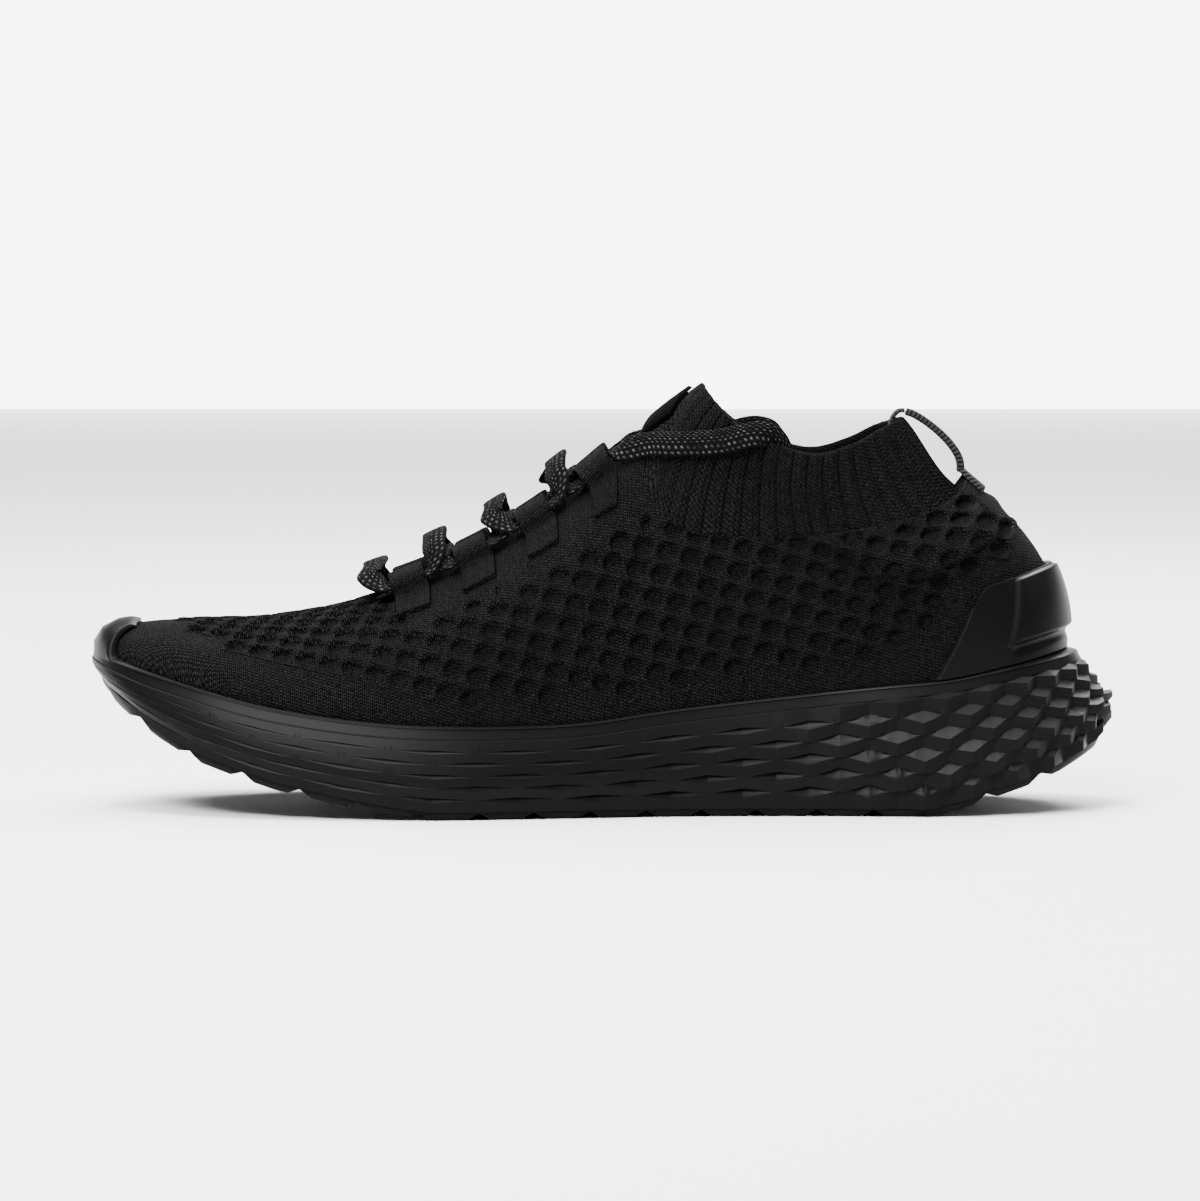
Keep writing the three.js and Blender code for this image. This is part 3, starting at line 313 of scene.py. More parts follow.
def face(u, v):
    """Cubic from feather line to top line, its lower handle leaning out, its upper handle
    lying along the top direction, plus a soft swelling behind the ankle."""
    u, v = np.broadcast_arrays(np.asarray(u, float) % 1, np.asarray(v, float))
    s = share(u)
    x, y, nx, ny = plan(u)
    foot = xyz(x, y, feather_z(x))
    lean = along(SECTION, s, 3)
    rise = unit(xyz(nx * lean, ny * lean, 1.0))
    top, direction = top_point(u)
    c1 = foot + rise * along(SECTION, s, 1)[..., None]
    c2 = top - direction * along(SECTION, s, 2)[..., None]
    t, w = v[..., None], 1 - v[..., None]
    p = w**3 * foot + 3 * w * w * t * c1 + 3 * w * t * t * c2 + t**3 * top
    ankle = ANKLE_OUT * np.exp(-((s - ANKLE_S) / 0.06) ** 2 - ((v - ANKLE_V) / 0.12) ** 2)
    p[..., 0] += nx * ankle
    p[..., 1] += ny * ankle
    return p


def normal(u, v):
    """Outward direction of the face, from its slopes along u and v."""
    u, v = np.broadcast_arrays(np.asarray(u, float) % 1, np.asarray(v, float))
    e = 1e-3
    du = face(u + e, v) - face(u - e, v)
    dv = face(u, np.minimum(1, v + e)) - face(u, np.maximum(0, v - e))
    out = unit(np.cross(du, dv))
    s = share(u)
    t = ridge_tangent(ridge_x(s))
    top = xyz(-t[..., 2], 0.0, t[..., 0])
    return np.where(((v > 0.9999) & (s <= PEAK + 1e-9))[..., None], top, out)


def skin(u, v, h):
    """A point h outside the face."""
    return face(u, v) + normal(u, v) * np.asarray(h, float)[..., None]


def climb(u, dz):
    """v at which the face is dz above the feather line, by halving."""
    u = np.asarray(u, float)
    goal = feather_z(plan(u)[0]) + dz
    a, b = np.zeros_like(u), np.ones_like(u)
    for _ in range(20):
        m = (a + b) / 2
        below = face(u, m)[..., 2] < goal
        a, b = np.where(below, m, a), np.where(below, b, m)
    return (a + b) / 2

# %% [markdown]
# ## Seam and flat coordinates
# Two kinds of piece need their own coordinates. The rib runs from the seam to the ankle edge, so
# it is counted round the ankle. Loops, lace and label are small flat things sewn on the throat, so
# they are measured in millimetres along and across the ridge, on a plane that touches the face.
# %% Seam and flat coordinates
COLLAR_START = share_at_ridge(COLLAR_X)


def seam_v(u):
    """v of the seam between outer knit and rib."""
    s = share(u)
    full = climb(u, along(SEAM, s) - feather_z(plan(u)[0]))
    return np.where(s <= COLLAR_START, 1.0,
                    mix(1, full, smooth((s - COLLAR_START) / SEAM_RAMP) ** 0.6))


def collar_share(w, r):
    """Rib coordinates (w round the ankle, r from seam to edge) to u and v of the face."""
    w, r = np.broadcast_arrays(np.asarray(w, float), np.asarray(r, float))
    c = np.where(w <= 0.5, 2 * w, 2 - 2 * w)
    seam = mix(COLLAR_START, 1, c)
    at = mix(seam, mix(PEAK, 1, c), r)
    v = mix(seam_v(seam / 2), 1, r)
    return np.where(w <= 0.5, at / 2, (1 - at / 2) % 1), v


def sheet_frame(s0, t0):
    """Flat coordinates on the face round (s0, t0) of the throat: a along the ridge, q across."""
    def point(s, t, h):
        s, t, h = np.broadcast_arrays(np.asarray(s, float), np.asarray(t, float), np.asarray(h, float))
        u = np.where(t <= 0, s / 2, (1 - s / 2) % 1)
        return skin(u, 1 - np.abs(t), h)
    e = 1e-3
    ds = (point(s0 + e, t0, 0.0) - point(s0 - e, t0, 0.0)) / (2 * e)
    dt = (point(s0, t0 + e, 0.0) - point(s0, t0 - e, 0.0)) / (2 * e)
    n = unit(point(s0, t0, 1.0) - point(s0, t0, 0.0))
    ridge = ridge_tangent(np.asarray(ridge_x(s0)))
    e1 = unit(ridge - n * (ridge @ n))
    e2 = np.cross(n, e1)
    back = np.linalg.inv(np.array([[ds @ ds, ds @ dt], [ds @ dt, dt @ dt]]))

    def place(a, q, h):
        d = np.asarray(a, float)[..., None] * e1 + np.asarray(q, float)[..., None] * e2
        st = np.stack([d @ ds, d @ dt], -1) @ back.T
        return point(s0 + st[..., 0], t0 + st[..., 1], h)
    return place


probe = face(np.linspace(0, 1, 9)[:-1], 0.5)
print("face at half height", probe.round(1).tolist())

# %% [markdown]
# ## Making meshes
# Most pieces of a shoe are sheets, bands and thin plates, and all of them can be made from a grid
# of points: a sheet is one grid, a band is a ring carried along a path. bmesh could add the faces
# one at a time, but whole arrays put in with foreach_set are far quicker for large grids. Each
# mesh also gets a UV map in units of 100 millimetres, which the cloth patterns read.
# %% Mesh helpers


def grid_object(name, pts, uv=None, wrap_rows=False, wrap_columns=False, weld=False, sharp=None):
    """A surface from a grid of points (rows, columns). Rows or columns may wrap round."""
    rows, cols = pts.shape[:2]
    index = np.arange(rows * cols).reshape(rows, cols)
    if wrap_rows:
        index = np.vstack([index, index[:1]])
    if wrap_columns:
        index = np.hstack([index, index[:, :1]])
    uv = corner_uv(uv, index.shape)
    return build(name, pts.reshape(-1, 3), grid_quads(index), uv, weld, sharp)


def grid_quads(index):
    """The quads of a grid of vertex numbers."""
    quads = np.stack([index[:-1, :-1], index[:-1, 1:], index[1:, 1:], index[1:, :-1]], -1)
    return quads.reshape(-1, 4)


def run_along(pts):
    """Millimetres along a line of points, from its start."""
    return np.concatenate([[0], np.cumsum(np.linalg.norm(np.diff(pts, axis=0), axis=-1))])


def run_uv(across, along_mm):
    """UV of a grid in units of 100 millimetres, from one length a column and one a row."""
    return np.stack(np.broadcast_arrays(across[None], along_mm[:, None]), -1) * 0.01


def corner_uv(uv, shape):
    """UV of every quad corner from a UV of every grid point."""
    if uv is None:
        uv = np.stack(np.meshgrid(np.arange(shape[1]), np.arange(shape[0])), -1) * 0.01
    corners = [uv[:-1, :-1], uv[:-1, 1:], uv[1:, 1:], uv[1:, :-1]]
    return np.stack(corners, 2).reshape(-1, 2)


def build(name, verts, quads, uv, weld=False, sharp=None):
    """Object from vertices in millimetres and quads, smooth, with a UV map."""
    mesh = bpy.data.meshes.new(name)
    mesh.vertices.add(len(verts))
    mesh.vertices.foreach_set("co", (np.asarray(verts, float) * MM).astype(np.float32).ravel())
    mesh.loops.add(quads.size)
    mesh.loops.foreach_set("vertex_index", quads.astype(np.int32).ravel())
    mesh.polygons.add(len(quads))
    mesh.polygons.foreach_set("loop_start", np.arange(0, quads.size, 4, dtype=np.int32))
    mesh.polygons.foreach_set("use_smooth", np.ones(len(quads), bool))
    mesh.update(calc_edges=True)
    layer = mesh.uv_layers.new(name="UVMap")
    layer.data.foreach_set("uv", uv.astype(np.float32).ravel())
    mesh.validate()
    if weld:
        bm = bmesh.new()
        bm.from_mesh(mesh)
        bmesh.ops.remove_doubles(bm, verts=bm.verts, dist=1e-6)
        bmesh.ops.dissolve_degenerate(bm, edges=bm.edges, dist=1e-7)
        bm.to_mesh(mesh)
        bm.free()
    if sharp is not None:
        mesh.set_sharp_from_angle(angle=math.radians(sharp))
    obj = bpy.data.objects.new(name, mesh)
    bpy.context.scene.collection.objects.link(obj)
    return obj

# %% [markdown]
# ## Bands along a path
# Laces, aglets and straps are all one section carried along a route. The route is given by a few
# stations and a look at each, the way the flat side faces, so a band can lie flat on one piece and
# turn over the edge of the next. A Curve object twists where it turns; the looks prevent that.
# %% Bands along a path


def resample(points, count):
    """Even points along a smooth curve through stations."""
    pts = np.asarray(points, float)
    run = run_along(pts[:, :3])
    rows = np.column_stack([run, pts])
    at = np.linspace(0, run[-1], count)
    return np.stack([along(rows, at, k + 1) for k in range(pts.shape[1])], -1)


def sweep(name, stations, looks, width, thick, count, corner=0.5, sides=20):
    """A flat band along stations. looks is the way its face points at each; the section is a
    rounded rectangle (superellipse), closed by flat ends."""
    data = resample(np.hstack([stations, looks]), count)
    p, look = data[:, :3], data[:, 3:]
    t = unit(np.gradient(p, axis=0))
    up = unit(look - t * np.sum(look * t, -1, keepdims=True))
    out = np.cross(up, t)
    a = np.linspace(0, 2 * math.pi, sides, endpoint=False)
    ca, sa = np.cos(a), np.sin(a)
    cx = np.sign(ca) * np.abs(ca) ** corner * width / 2
    cy = np.sign(sa) * np.abs(sa) ** corner * thick / 2
    run = run_along(p)
    ring = p[:, None] + out[:, None] * cx[None, :, None] + up[:, None] * cy[None, :, None]
    first, last = p[:1, None].repeat(sides, 1), p[-1:, None].repeat(sides, 1)
    pts = np.concatenate([first, ring, last])
    around = np.append(cx, cx[0])
    runs = np.concatenate([[run[0]], run, [run[-1]]])
    uv = run_uv(around, runs)
    obj = grid_object(name, pts[:, ::-1], uv[:, ::-1], wrap_columns=True, weld=True)
    return obj, p


path_run = resample([(0, 0, 0), (30, 0, 0), (60, 0, 10)], 5)[:, 0]
print("even points along a bent line, x", path_run.round(1).tolist())

# %% [markdown]
# ## Materials
# Cloth, foam, rubber and tape are all near black on this shoe, so they differ by relief and by how
# tight their highlight is. An image texture could carry the stitches; here a few math nodes work
# them out instead, so they stay sharp at any distance and follow each piece's own UV map. Bare
# foam and plastic have only a fine grain, which reads the Object coordinates.
# %% Materials


class Paint:
    """A material with short names for the nodes used here."""

    def __init__(self, name, colour, rough, gloss=0.05):
        self.mat = bpy.data.materials.new(name)
        self.mat.use_nodes = True
        self.tree = self.mat.node_tree
        self.bsdf = self.tree.nodes["Principled BSDF"]
        self.bsdf.inputs["Base Color"].default_value = (*colour, 1)
        self.bsdf.inputs["Roughness"].default_value = rough
        self.bsdf.inputs["Specular IOR Level"].default_value = gloss
        self.mat.diffuse_color = (*colour, 1)

    def put(self, socket, value):
        """A number or another node's result into a socket."""
        if isinstance(value, (int, float)):
            socket.default_value = value
        else:
            self.tree.links.new(value, socket)

    def math(self, op, a, b=0.0, c=0.0):
        """One step of arithmetic."""
        node = self.tree.nodes.new("ShaderNodeMath")
        node.operation = op
        for socket, value in zip(node.inputs, (a, b, c)):
            self.put(socket, value)
        return node.outputs[0]

    def uv(self):
        """UV map in millimetres: across, along."""
        node = self.tree.nodes.new("ShaderNodeUVMap")
        node.uv_map = "UVMap"
        split = self.tree.nodes.new("ShaderNodeSeparateXYZ")
        self.tree.links.new(node.outputs[0], split.inputs[0])
        return [self.math("MULTIPLY", split.outputs[k], 100.0) for k in (0, 1)]

    def noise(self, scale, detail):
        """Fine noise on object coordinates; scale is in bumps per metre."""
        coords = self.tree.nodes.new("ShaderNodeTexCoord")
        node = self.tree.nodes.new("ShaderNodeTexNoise")
        self.tree.links.new(coords.outputs["Object"], node.inputs["Vector"])
        node.inputs["Scale"].default_value = scale
        node.inputs["Detail"].default_value = detail
        node.inputs["Roughness"].default_value = 0.6
        return node.outputs["Fac"]

    def limit(self, value):
        """A value held between 0 and 1."""
        return self.math("MINIMUM", self.math("MAXIMUM", value, 0.0), 1.0)

    def wave(self, value, period):
        """0..1 sine of a length with the given period."""
        turned = self.math("MULTIPLY", value, 2 * math.pi / period)
        return self.math("MULTIPLY_ADD", self.math("SINE", turned), 0.5, 0.5)

    def colours(self, factor, dark, light):
        """Colour between dark and light."""
        node = self.tree.nodes.new("ShaderNodeMix")
        node.data_type = "RGBA"
        self.tree.links.new(factor, node.inputs[0])
        node.inputs[6].default_value = (*dark, 1)
        node.inputs[7].default_value = (*light, 1)
        self.tree.links.new(node.outputs[2], self.bsdf.inputs["Base Color"])

    def relief(self, height, depth):
        """Relief of depth millimetres from a 0..1 height."""
        node = self.tree.nodes.new("ShaderNodeBump")
        node.inputs["Strength"].default_value = 1.0
        node.inputs["Distance"].default_value = depth * MM
        self.tree.links.new(height, node.inputs["Height"])
        self.tree.links.new(node.outputs[0], self.bsdf.inputs["Normal"])

# %% [markdown]
# ## Finishes
# Each finish is one function of a few sizes in millimetres: the stitch of a knit, the slant of a
# herringbone, the yarns of a braid. The pattern gives a height between 0 and 1, which lifts the
# crests a little, as raised yarns do on real cloth; in the knit and the herringbone it also sets the
# colour, a painted highlight on the crests and painted shade in the gaps.
# %% Finishes


def grey(level, warm=0.0):
    """Grey of a level, with a little more red and less blue if warm."""
    return (level * (1 + warm), level, level * (1 - warm * 0.6))


def stitch_height(paint, across, up, wale, course):
    """Knit loops: two slanting legs in each wale, one V in each course; each wale starts a
    third of a course above the last, so the rows of loops climb. The height is the sine of the
    row, lowered where two wales meet and between the two legs of one wale."""
    wales = paint.math("DIVIDE", across, wale)
    cell = paint.math("FRACT", wales)
    fold = paint.math("ABSOLUTE", paint.math("SUBTRACT", cell, 0.5))
    step = paint.math("MULTIPLY", paint.math("FLOOR", wales), 0.35)
    row = paint.math("ADD", paint.math("DIVIDE", up, course), step)
    row = paint.math("MULTIPLY_ADD", fold, 0.9, row)
    leg = paint.math("ABSOLUTE", paint.math("SINE", paint.math("MULTIPLY", row, math.pi)))
    gutter = paint.math("ABSOLUTE", paint.math("SINE", paint.math("MULTIPLY", cell, 2 * math.pi)))
    return paint.math("MULTIPLY", paint.math("POWER", leg, 0.8), paint.math("POWER", gutter, 0.4))


def knit_paint(name, wale, course, dark, light, depth):
    """Knit: a painted highlight on the crests of the loops, brighter where fine fuzz catches light, and
    painted shade in the gaps between them.
    """
    paint = Paint(name, grey(light), 0.95, gloss=0.03)
    across, up = paint.uv()
    height = stitch_height(paint, across, up, wale, course)
    fuzz = paint.noise(1700, 2)
    crest = paint.math("POWER", height, 1.6)
    # painted light: highlight specks on the crests of the loops, painted shade in the gaps between them
    painted_light = paint.math("MULTIPLY", crest, paint.math("MULTIPLY_ADD", fuzz, 4.0, -1.3))
    paint.colours(paint.limit(painted_light), grey(dark), grey(light))
    paint.relief(paint.math("ADD", height, paint.math("MULTIPLY", fuzz, 0.25)), depth)
    return paint.mat


def plain_paint(name, level, rough, grain, depth, gloss=0.1, warm=0.0):
    """One grey with a fine grain; grain is in bumps per metre, depth in millimetres."""
    paint = Paint(name, grey(level, warm), rough, gloss=gloss)
    paint.relief(paint.noise(grain, 4), depth)
    return paint.mat


def webbing_paint(name, dark, light, period, column, depth):
    """Herringbone: slanting ribs that change slant from column to column, a painted highlight on their
    crests and painted shade in the grooves.
    """
    paint = Paint(name, grey(light), 0.7)
    across, up = paint.uv()
    slant = paint.math("ADD", up, paint.math("PINGPONG", across, column))
    height = paint.wave(slant, period)
    # painted light: the colour follows the rib height, lighter crests as painted highlight, darker grooves
    # as painted shade
    paint.colours(height, grey(dark), grey(light))
    paint.relief(height, depth)
    return paint.mat


def lace_paint(name, dark, light, row, pitch):
    """Flat braid: slanting yarns in narrow rows, each row half a pitch on from the last, with
    one bright yarn showing as a short dash."""
    paint = Paint(name, grey(dark), 0.9, gloss=0.02)
    across, up = paint.uv()
    rows = paint.math("DIVIDE", across, row)
    shift = paint.math("MULTIPLY", paint.math("FLOOR", rows), 0.5)
    step = paint.math("ADD", paint.math("DIVIDE", up, pitch), shift)
    slant = paint.math("MULTIPLY_ADD", paint.math("FRACT", rows), 0.35, step)

    def hump(value):
        """1 in the middle of each unit step of the value, 0 at its ends."""
        away = paint.math("MULTIPLY_ADD", paint.math("FRACT", value), 2.0, -1.0)
        return paint.math("SUBTRACT", 1.0, paint.math("POWER", paint.math("ABSOLUTE", away), 2.0))
    bump = paint.math("MULTIPLY", hump(rows), hump(slant))
    bright = paint.math("POWER", bump, 7.0)
    luck = paint.math("MULTIPLY_ADD", paint.noise(700, 1), 2.6, -0.75)
    fleck = paint.math("MULTIPLY", bright, luck)
    paint.colours(paint.limit(fleck), grey(dark), grey(light))
    paint.relief(bump, 0.22)
    return paint.mat

# %% [markdown]
# ## The shoe's materials
# All are almost black. What sets them apart is the size of the stitch, how dark the painted shade in
# its gaps is and how much light the bare foam, rubber and moulding give back.
# %% The shoe's materials
# In each knit the dark level is painted shade in the gaps of the stitch, the light level a painted
# highlight on its crests.
KNIT = knit_paint("outer knit", 1.15, 0.95, 0.0004, 0.016, 0.9)
RIB = knit_paint("ribbed knit", 1.0, 1.08, 0.0004, 0.013, 0.5)
LINING = knit_paint("lining", 0.9, 0.9, 0.0008, 0.004, 0.12)
FOAM = plain_paint("foam", 0.0026, 0.42, 2200, 0.02, gloss=0.05)
RUBBER = plain_paint("rubber", 0.0028, 0.48, 1800, 0.03, gloss=0.05)
INNER_FOAM = plain_paint("inner foam", 0.02, 0.9, 2500, 0.1)
BOARD = plain_paint("board", 0.004, 0.9, 1200, 0.05, gloss=0.02, warm=0.1)
MOULDING = plain_paint("moulding", 0.0022, 0.42, 3000, 0.01, gloss=0.04)
PLASTIC = plain_paint("plastic", 0.004, 0.3, 900, 0.01, gloss=0.2)
# The tape's dark level is painted shade in its grooves, the light level a painted highlight on its ribs.
WEBBING = webbing_paint("herringbone tape", 0.003, 0.024, 1.3, 2.6, 0.3)
LOOP_TAPE = knit_paint("loop tape", 1.1, 0.9, 0.0003, 0.019, 0.9)
LACE = lace_paint("lace braid", 0.0018, 0.07, 0.95, 1.7)
LABEL = plain_paint("label", 0.0006, 0.7, 1500, 0.03, gloss=0.01)
print("materials", len(bpy.data.materials))


def finish_piece(obj, material, body, *nodes):
    """Gives a piece its material, lets it ride a body and take the place of CAD nodes."""
    obj.data.materials.clear()
    obj.data.materials.append(material)
    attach(obj, body)
    if nodes:
        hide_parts(*nodes)
    print(obj.name, "faces", len(obj.data.polygons))

# %% [markdown]
# ## Camera, floor and light
# A product table: a pale floor, a bright wall far behind, and soft boxes above. The shoe is almost
# black, so a large overhead panel draws its edges and a smaller lamp at the front fills the pits
# of the knit. A picture of a studio on the world could light it too, but lamps can be moved one
# at a time. A long lens far away looks at the lateral side, a little from above.
# %% Camera and light


def add_camera(distance, elevation, aim_z, lens):
    """Camera on the lateral side, distance metres away and elevation degrees up."""
    data = bpy.data.cameras.new("camera")
    data.lens, data.sensor_width, data.clip_end = lens, 36, 50
    obj = bpy.data.objects.new("camera", data)
    tilt = math.radians(elevation)
    obj.location = (0, -distance * math.cos(tilt), aim_z + distance * math.sin(tilt))
    obj.rotation_euler = (math.pi / 2 - tilt, 0, 0)
    bpy.context.scene.collection.objects.link(obj)
    bpy.context.scene.camera = obj


def add_area(name, location, target, size, watts):
    """Rectangular lamp that faces its target."""
    data = bpy.data.lights.new(name, "AREA")
    data.shape, data.size, data.size_y, data.energy = "RECTANGLE", size[0], size[1], watts
    obj = bpy.data.objects.new(name, data)
    obj.location = location
    away = np.array(target, float) - np.array(location, float)
    obj.rotation_euler = (math.acos(-away[2] / np.linalg.norm(away)), 0,
                          math.atan2(away[1], away[0]) - math.pi / 2)
    bpy.context.scene.collection.objects.link(obj)


def add_sheet(name, corners, level, glow=0.0):
    """One flat sheet of the studio, in metres, with its own light if it glows."""
    mesh = bpy.data.meshes.new(name)
    mesh.from_pydata(corners, [], [(0, 1, 2, 3)])
    obj = bpy.data.objects.new(name, mesh)
    bpy.context.scene.collection.objects.link(obj)
    paint = Paint(name, grey(level), 0.9)
    paint.bsdf.inputs["Emission Color"].default_value = (1, 1, 1, 1)
    paint.bsdf.inputs["Emission Strength"].default_value = glow
    mesh.materials.append(paint.mat)


def add_world(level):
    """Even white light from all round."""
    world = bpy.data.worlds.new("studio")
    world.use_nodes = True
    world.node_tree.nodes["Background"].inputs[0].default_value = (1, 1, 1, 1)
    world.node_tree.nodes["Background"].inputs[1].default_value = level
    bpy.context.scene.world = world


add_camera(2.0, 3.5, 0.0599, 205)
add_sheet("floor", [(-8, -8, 0), (8, -8, 0), (8, 12, 0), (-8, 12, 0)], 0.7)
add_sheet("backdrop", [(-8, 3.5, -0.2), (8, 3.5, -0.2), (8, 3.5, 0.7), (-8, 3.5, 0.7)], 0.9, 5.0)
add_world(0.06)
add_area("sky", (0, 1.0, 2.6), (0, 0.4, 0), (4.0, 3.0), 330)
add_area("key", (-0.2, -0.25, 1.5), (0, 0, 0.05), (0.9, 0.4), 50)
add_area("front", (-0.45, -1.0, 1.05), (0, 0, 0.05), (0.7, 0.5), 60)
add_area("rim", (1.3, 0.2, 0.9), (0, 0, 0.05), (0.4, 0.6), 4)
add_area("back fill", (0.3, 1.1, 1.0), (0, 0, 0.05), (0.7, 0.5), 30)
print("lamps", len(bpy.data.lights), "watts", sum(lamp.energy for lamp in bpy.data.lights))

# %% [markdown]
# ## Lace ends
# The lace is one flat braid. Its two free ends leave the last loops, lie along the tongue, go over
# the ankle edge and rest on the foot bed, each closed by a hard plastic tip. A curve object with a
# bevel would make a round cord; a ring carried along stations, with a look that says which way the
# flat side faces, makes a band that can turn over.
# %% Lace ends
LACE_WIDTH, LACE_THICK = 7.4, 1.5
LACE_LIFT = GAP + 1.0 + TUNNEL_HIGH / 2 - 0.1
BED_TOP = 2.8


def tail_stations(side):
    """Listed points of one free end, from the last loop to the foot bed, and the way that its
    flat side faces at each of them."""
    place = sheet_frame(share_at_ridge(LOOP_X[3]), side * LOOP_T)
    pts, looks = [], []

    def add(p, look):
        pts.append(np.asarray(p, float).reshape(3))
        looks.append(np.asarray(look, float).reshape(3))
    reach = LOOP_WIDTH / 2
    for a in (reach, reach + 1.4):
        p = place(a, 0.0, LACE_LIFT)
        add(p, unit(p - place(a, 0.0, 0.0)))
    for s, v in [[.524, .74], [.548, .69], [.59, .695], [.636, .812], [.668, .9]]:
        u = s / 2 if side < 0 else 1 - s / 2
        add(skin(u, v, 2.9), unit(normal(u, v) + np.array([0, 0.9 * side, 0])))
    for c, up, out in [(.17, .3, 2.9), (.188, 2.2, 1.6), (.203, 2.4, -1.6), (.212, -1.8, -5.0)]:
        u, v = collar_share(c if side < 0 else 1 - c, 1.0)
        add(skin(u, v, out) + [0, 0, up], normal(u, v))
    add((49, 15 * side, 97), (0, side, 0))
    add((50, 14 * side, 74), (0, side, 0))
    add((48, 13.5 * side, 50), (-.6, 0, .3))
    for d in (0, 6, 14, 30, 55, 85, 118):
        x = 38 - d
        add((x, (13 - d / 40) * side, feather_z(x) + BED_TOP + GAP + 0.9), (0, 0, 1))
    return np.array(pts), np.array(looks)


def lace_end(name, side):
    """One free end with its tip: two bands on one route."""
    pts, looks = tail_stations(side)
    tail, path = sweep(f"lace_end_{name}", pts, looks, LACE_WIDTH, LACE_THICK, 420, 0.6)
    ahead = unit(pts[-1] - pts[-2])
    tip = pts[-1] + ahead * np.linspace(-1.5, 20, 8)[:, None]
    tip[:, 2] = feather_z(tip[:, 0]) + BED_TOP + GAP + 1.6
    aglet, _ = sweep(f"lace_tip_{name}", tip, np.tile([0, 0, 1.0], (8, 1)), 3.4, 3.0, 40, 0.8)
    finish_piece(tail, LACE, "shoe", f"lace_tail_{name}")
    finish_piece(aglet, PLASTIC, "shoe", f"aglet_{name}")
    length = run_along(path)[-1]
    [tuple(p) for p in path * MM]
    print(name, "lace end length mm", round(length, 1))


for word, sign in (("lateral", -1), ("medial", 1)):
    lace_end(word, sign)

# %% [markdown]
# ## Outer knit
# The outer knit is one piece of cloth with a raised honeycomb over the foot and plain zones at toe
# and heel. Its pits are deep enough to cast shadows, so they are in the mesh: displacement by an
# image would do it too, but a formula can leave out each pit whose centre is outside the zone.
# One grid makes each half. The pattern coordinates are X along the shoe and the run of cloth up
# from the sole, so rows of pits stay rows when the cloth turns over the toes.
# %% Outer knit
PIT_A, PIT_B = np.array([6.8, -1.85]), np.array([-1.95, -6.6])
PIT_ZERO = np.array([0.0, 60.0])
PIT_RADIUS, PIT_DEPTH = 3.1, 1.25
ZONE_LOW = [[-130, 59], [-126, 56], [-107, 48], [-100, 45], [-85, 43.5], [-66, 39], [-48, 35],
            [-32, 33.5], [-1, 35.5], [20, 37], [47, 41], [79, 44.5], [91, 49], [98, 62], [120, 77]]
ZONE_HIGH = [[-130, 200], [-61, 200], [-58, 62], [-52, 52], [-2, 77], [29, 89], [46, 80.5], [67, 80],
             [87, 83], [101, 91], [105, 91], [117, 86], [120, 77]]


def pit_height(p, q, z, slope):
    """Height of the honeycomb: a nearly square slanting lattice of rounded six-sided pits with
    steep walls and flat floors, separated by plump ridges. A pit is made only where its centre
    lies inside the zone."""
    basis = np.linalg.inv(np.column_stack([PIT_A, PIT_B]))
    rel = np.stack([p, q], -1) - PIT_ZERO
    cell = rel @ basis.T
    centre = np.round(cell)
    d = (cell - centre) @ np.column_stack([PIT_A, PIT_B]).T
    pc, qc = p - d[..., 0], q - d[..., 1]
    zc = z - d[..., 1] * slope
    low, high = np.array(ZONE_LOW, float), np.array(ZONE_HIGH, float)
    inside = ((zc > np.interp(pc, low[:, 0], low[:, 1])) & (zc < np.interp(pc, high[:, 0], high[:, 1]))
              & (pc > low[0, 0]) & (pc < low[-1, 0]))
    angles = np.radians([75, 15, -45])
    reach = np.stack([np.abs(d[..., 0] * math.cos(k) + d[..., 1] * math.sin(k)) for k in angles])
    hexed = (reach ** 6).mean(0) ** (1 / 6) * 3 ** (1 / 6)
    wall = smooth((PIT_RADIUS - hexed) / 0.5)
    floor = 1 + 0.5 * (-d[..., 0] * 0.5 + d[..., 1] * 0.8) / PIT_RADIUS
    ridge = smooth((hexed - PIT_RADIUS + 0.15) / 0.6)
    return np.where(inside, 0.45 * ridge - PIT_DEPTH * wall * floor, 0.0)

# %% [markdown]
# ## Knit halves
# The pits are taken off the face and the ankle's padded swelling is added to it. Each half of the
# knit is then one grid from the feather line to the seam, whose last rows turn inward as a rolled
# edge, so the cloth shows a thickness where it ends over the rib.
# %% Knit halves
BULGE_EDGE = [[60, 78], [70, 75], [79, 68], [93, 67.5], [112, 77], [120, 84]]


def ankle_swell(x, z):
    """Padded swelling of the ankle: a firm lower edge, a soft upper one."""
    edge = np.interp(x, *np.array(BULGE_EDGE, float).T)
    over = z - edge
    return (2.3 * smooth((over + 0.4) / 2.2) * (1 - smooth((over - 7) / 9))
            * smooth((x - 62) / 10) * smooth((119 - x) / 8))


def cloth_run(pts, u):
    """Run of cloth up each line of the face, starting from the feather height."""
    step = np.linalg.norm(np.diff(pts, axis=0), axis=-1)
    run = np.vstack([np.zeros(pts.shape[1]), np.cumsum(step, axis=0)])
    return run + feather_z(plan(u)[0])[None]


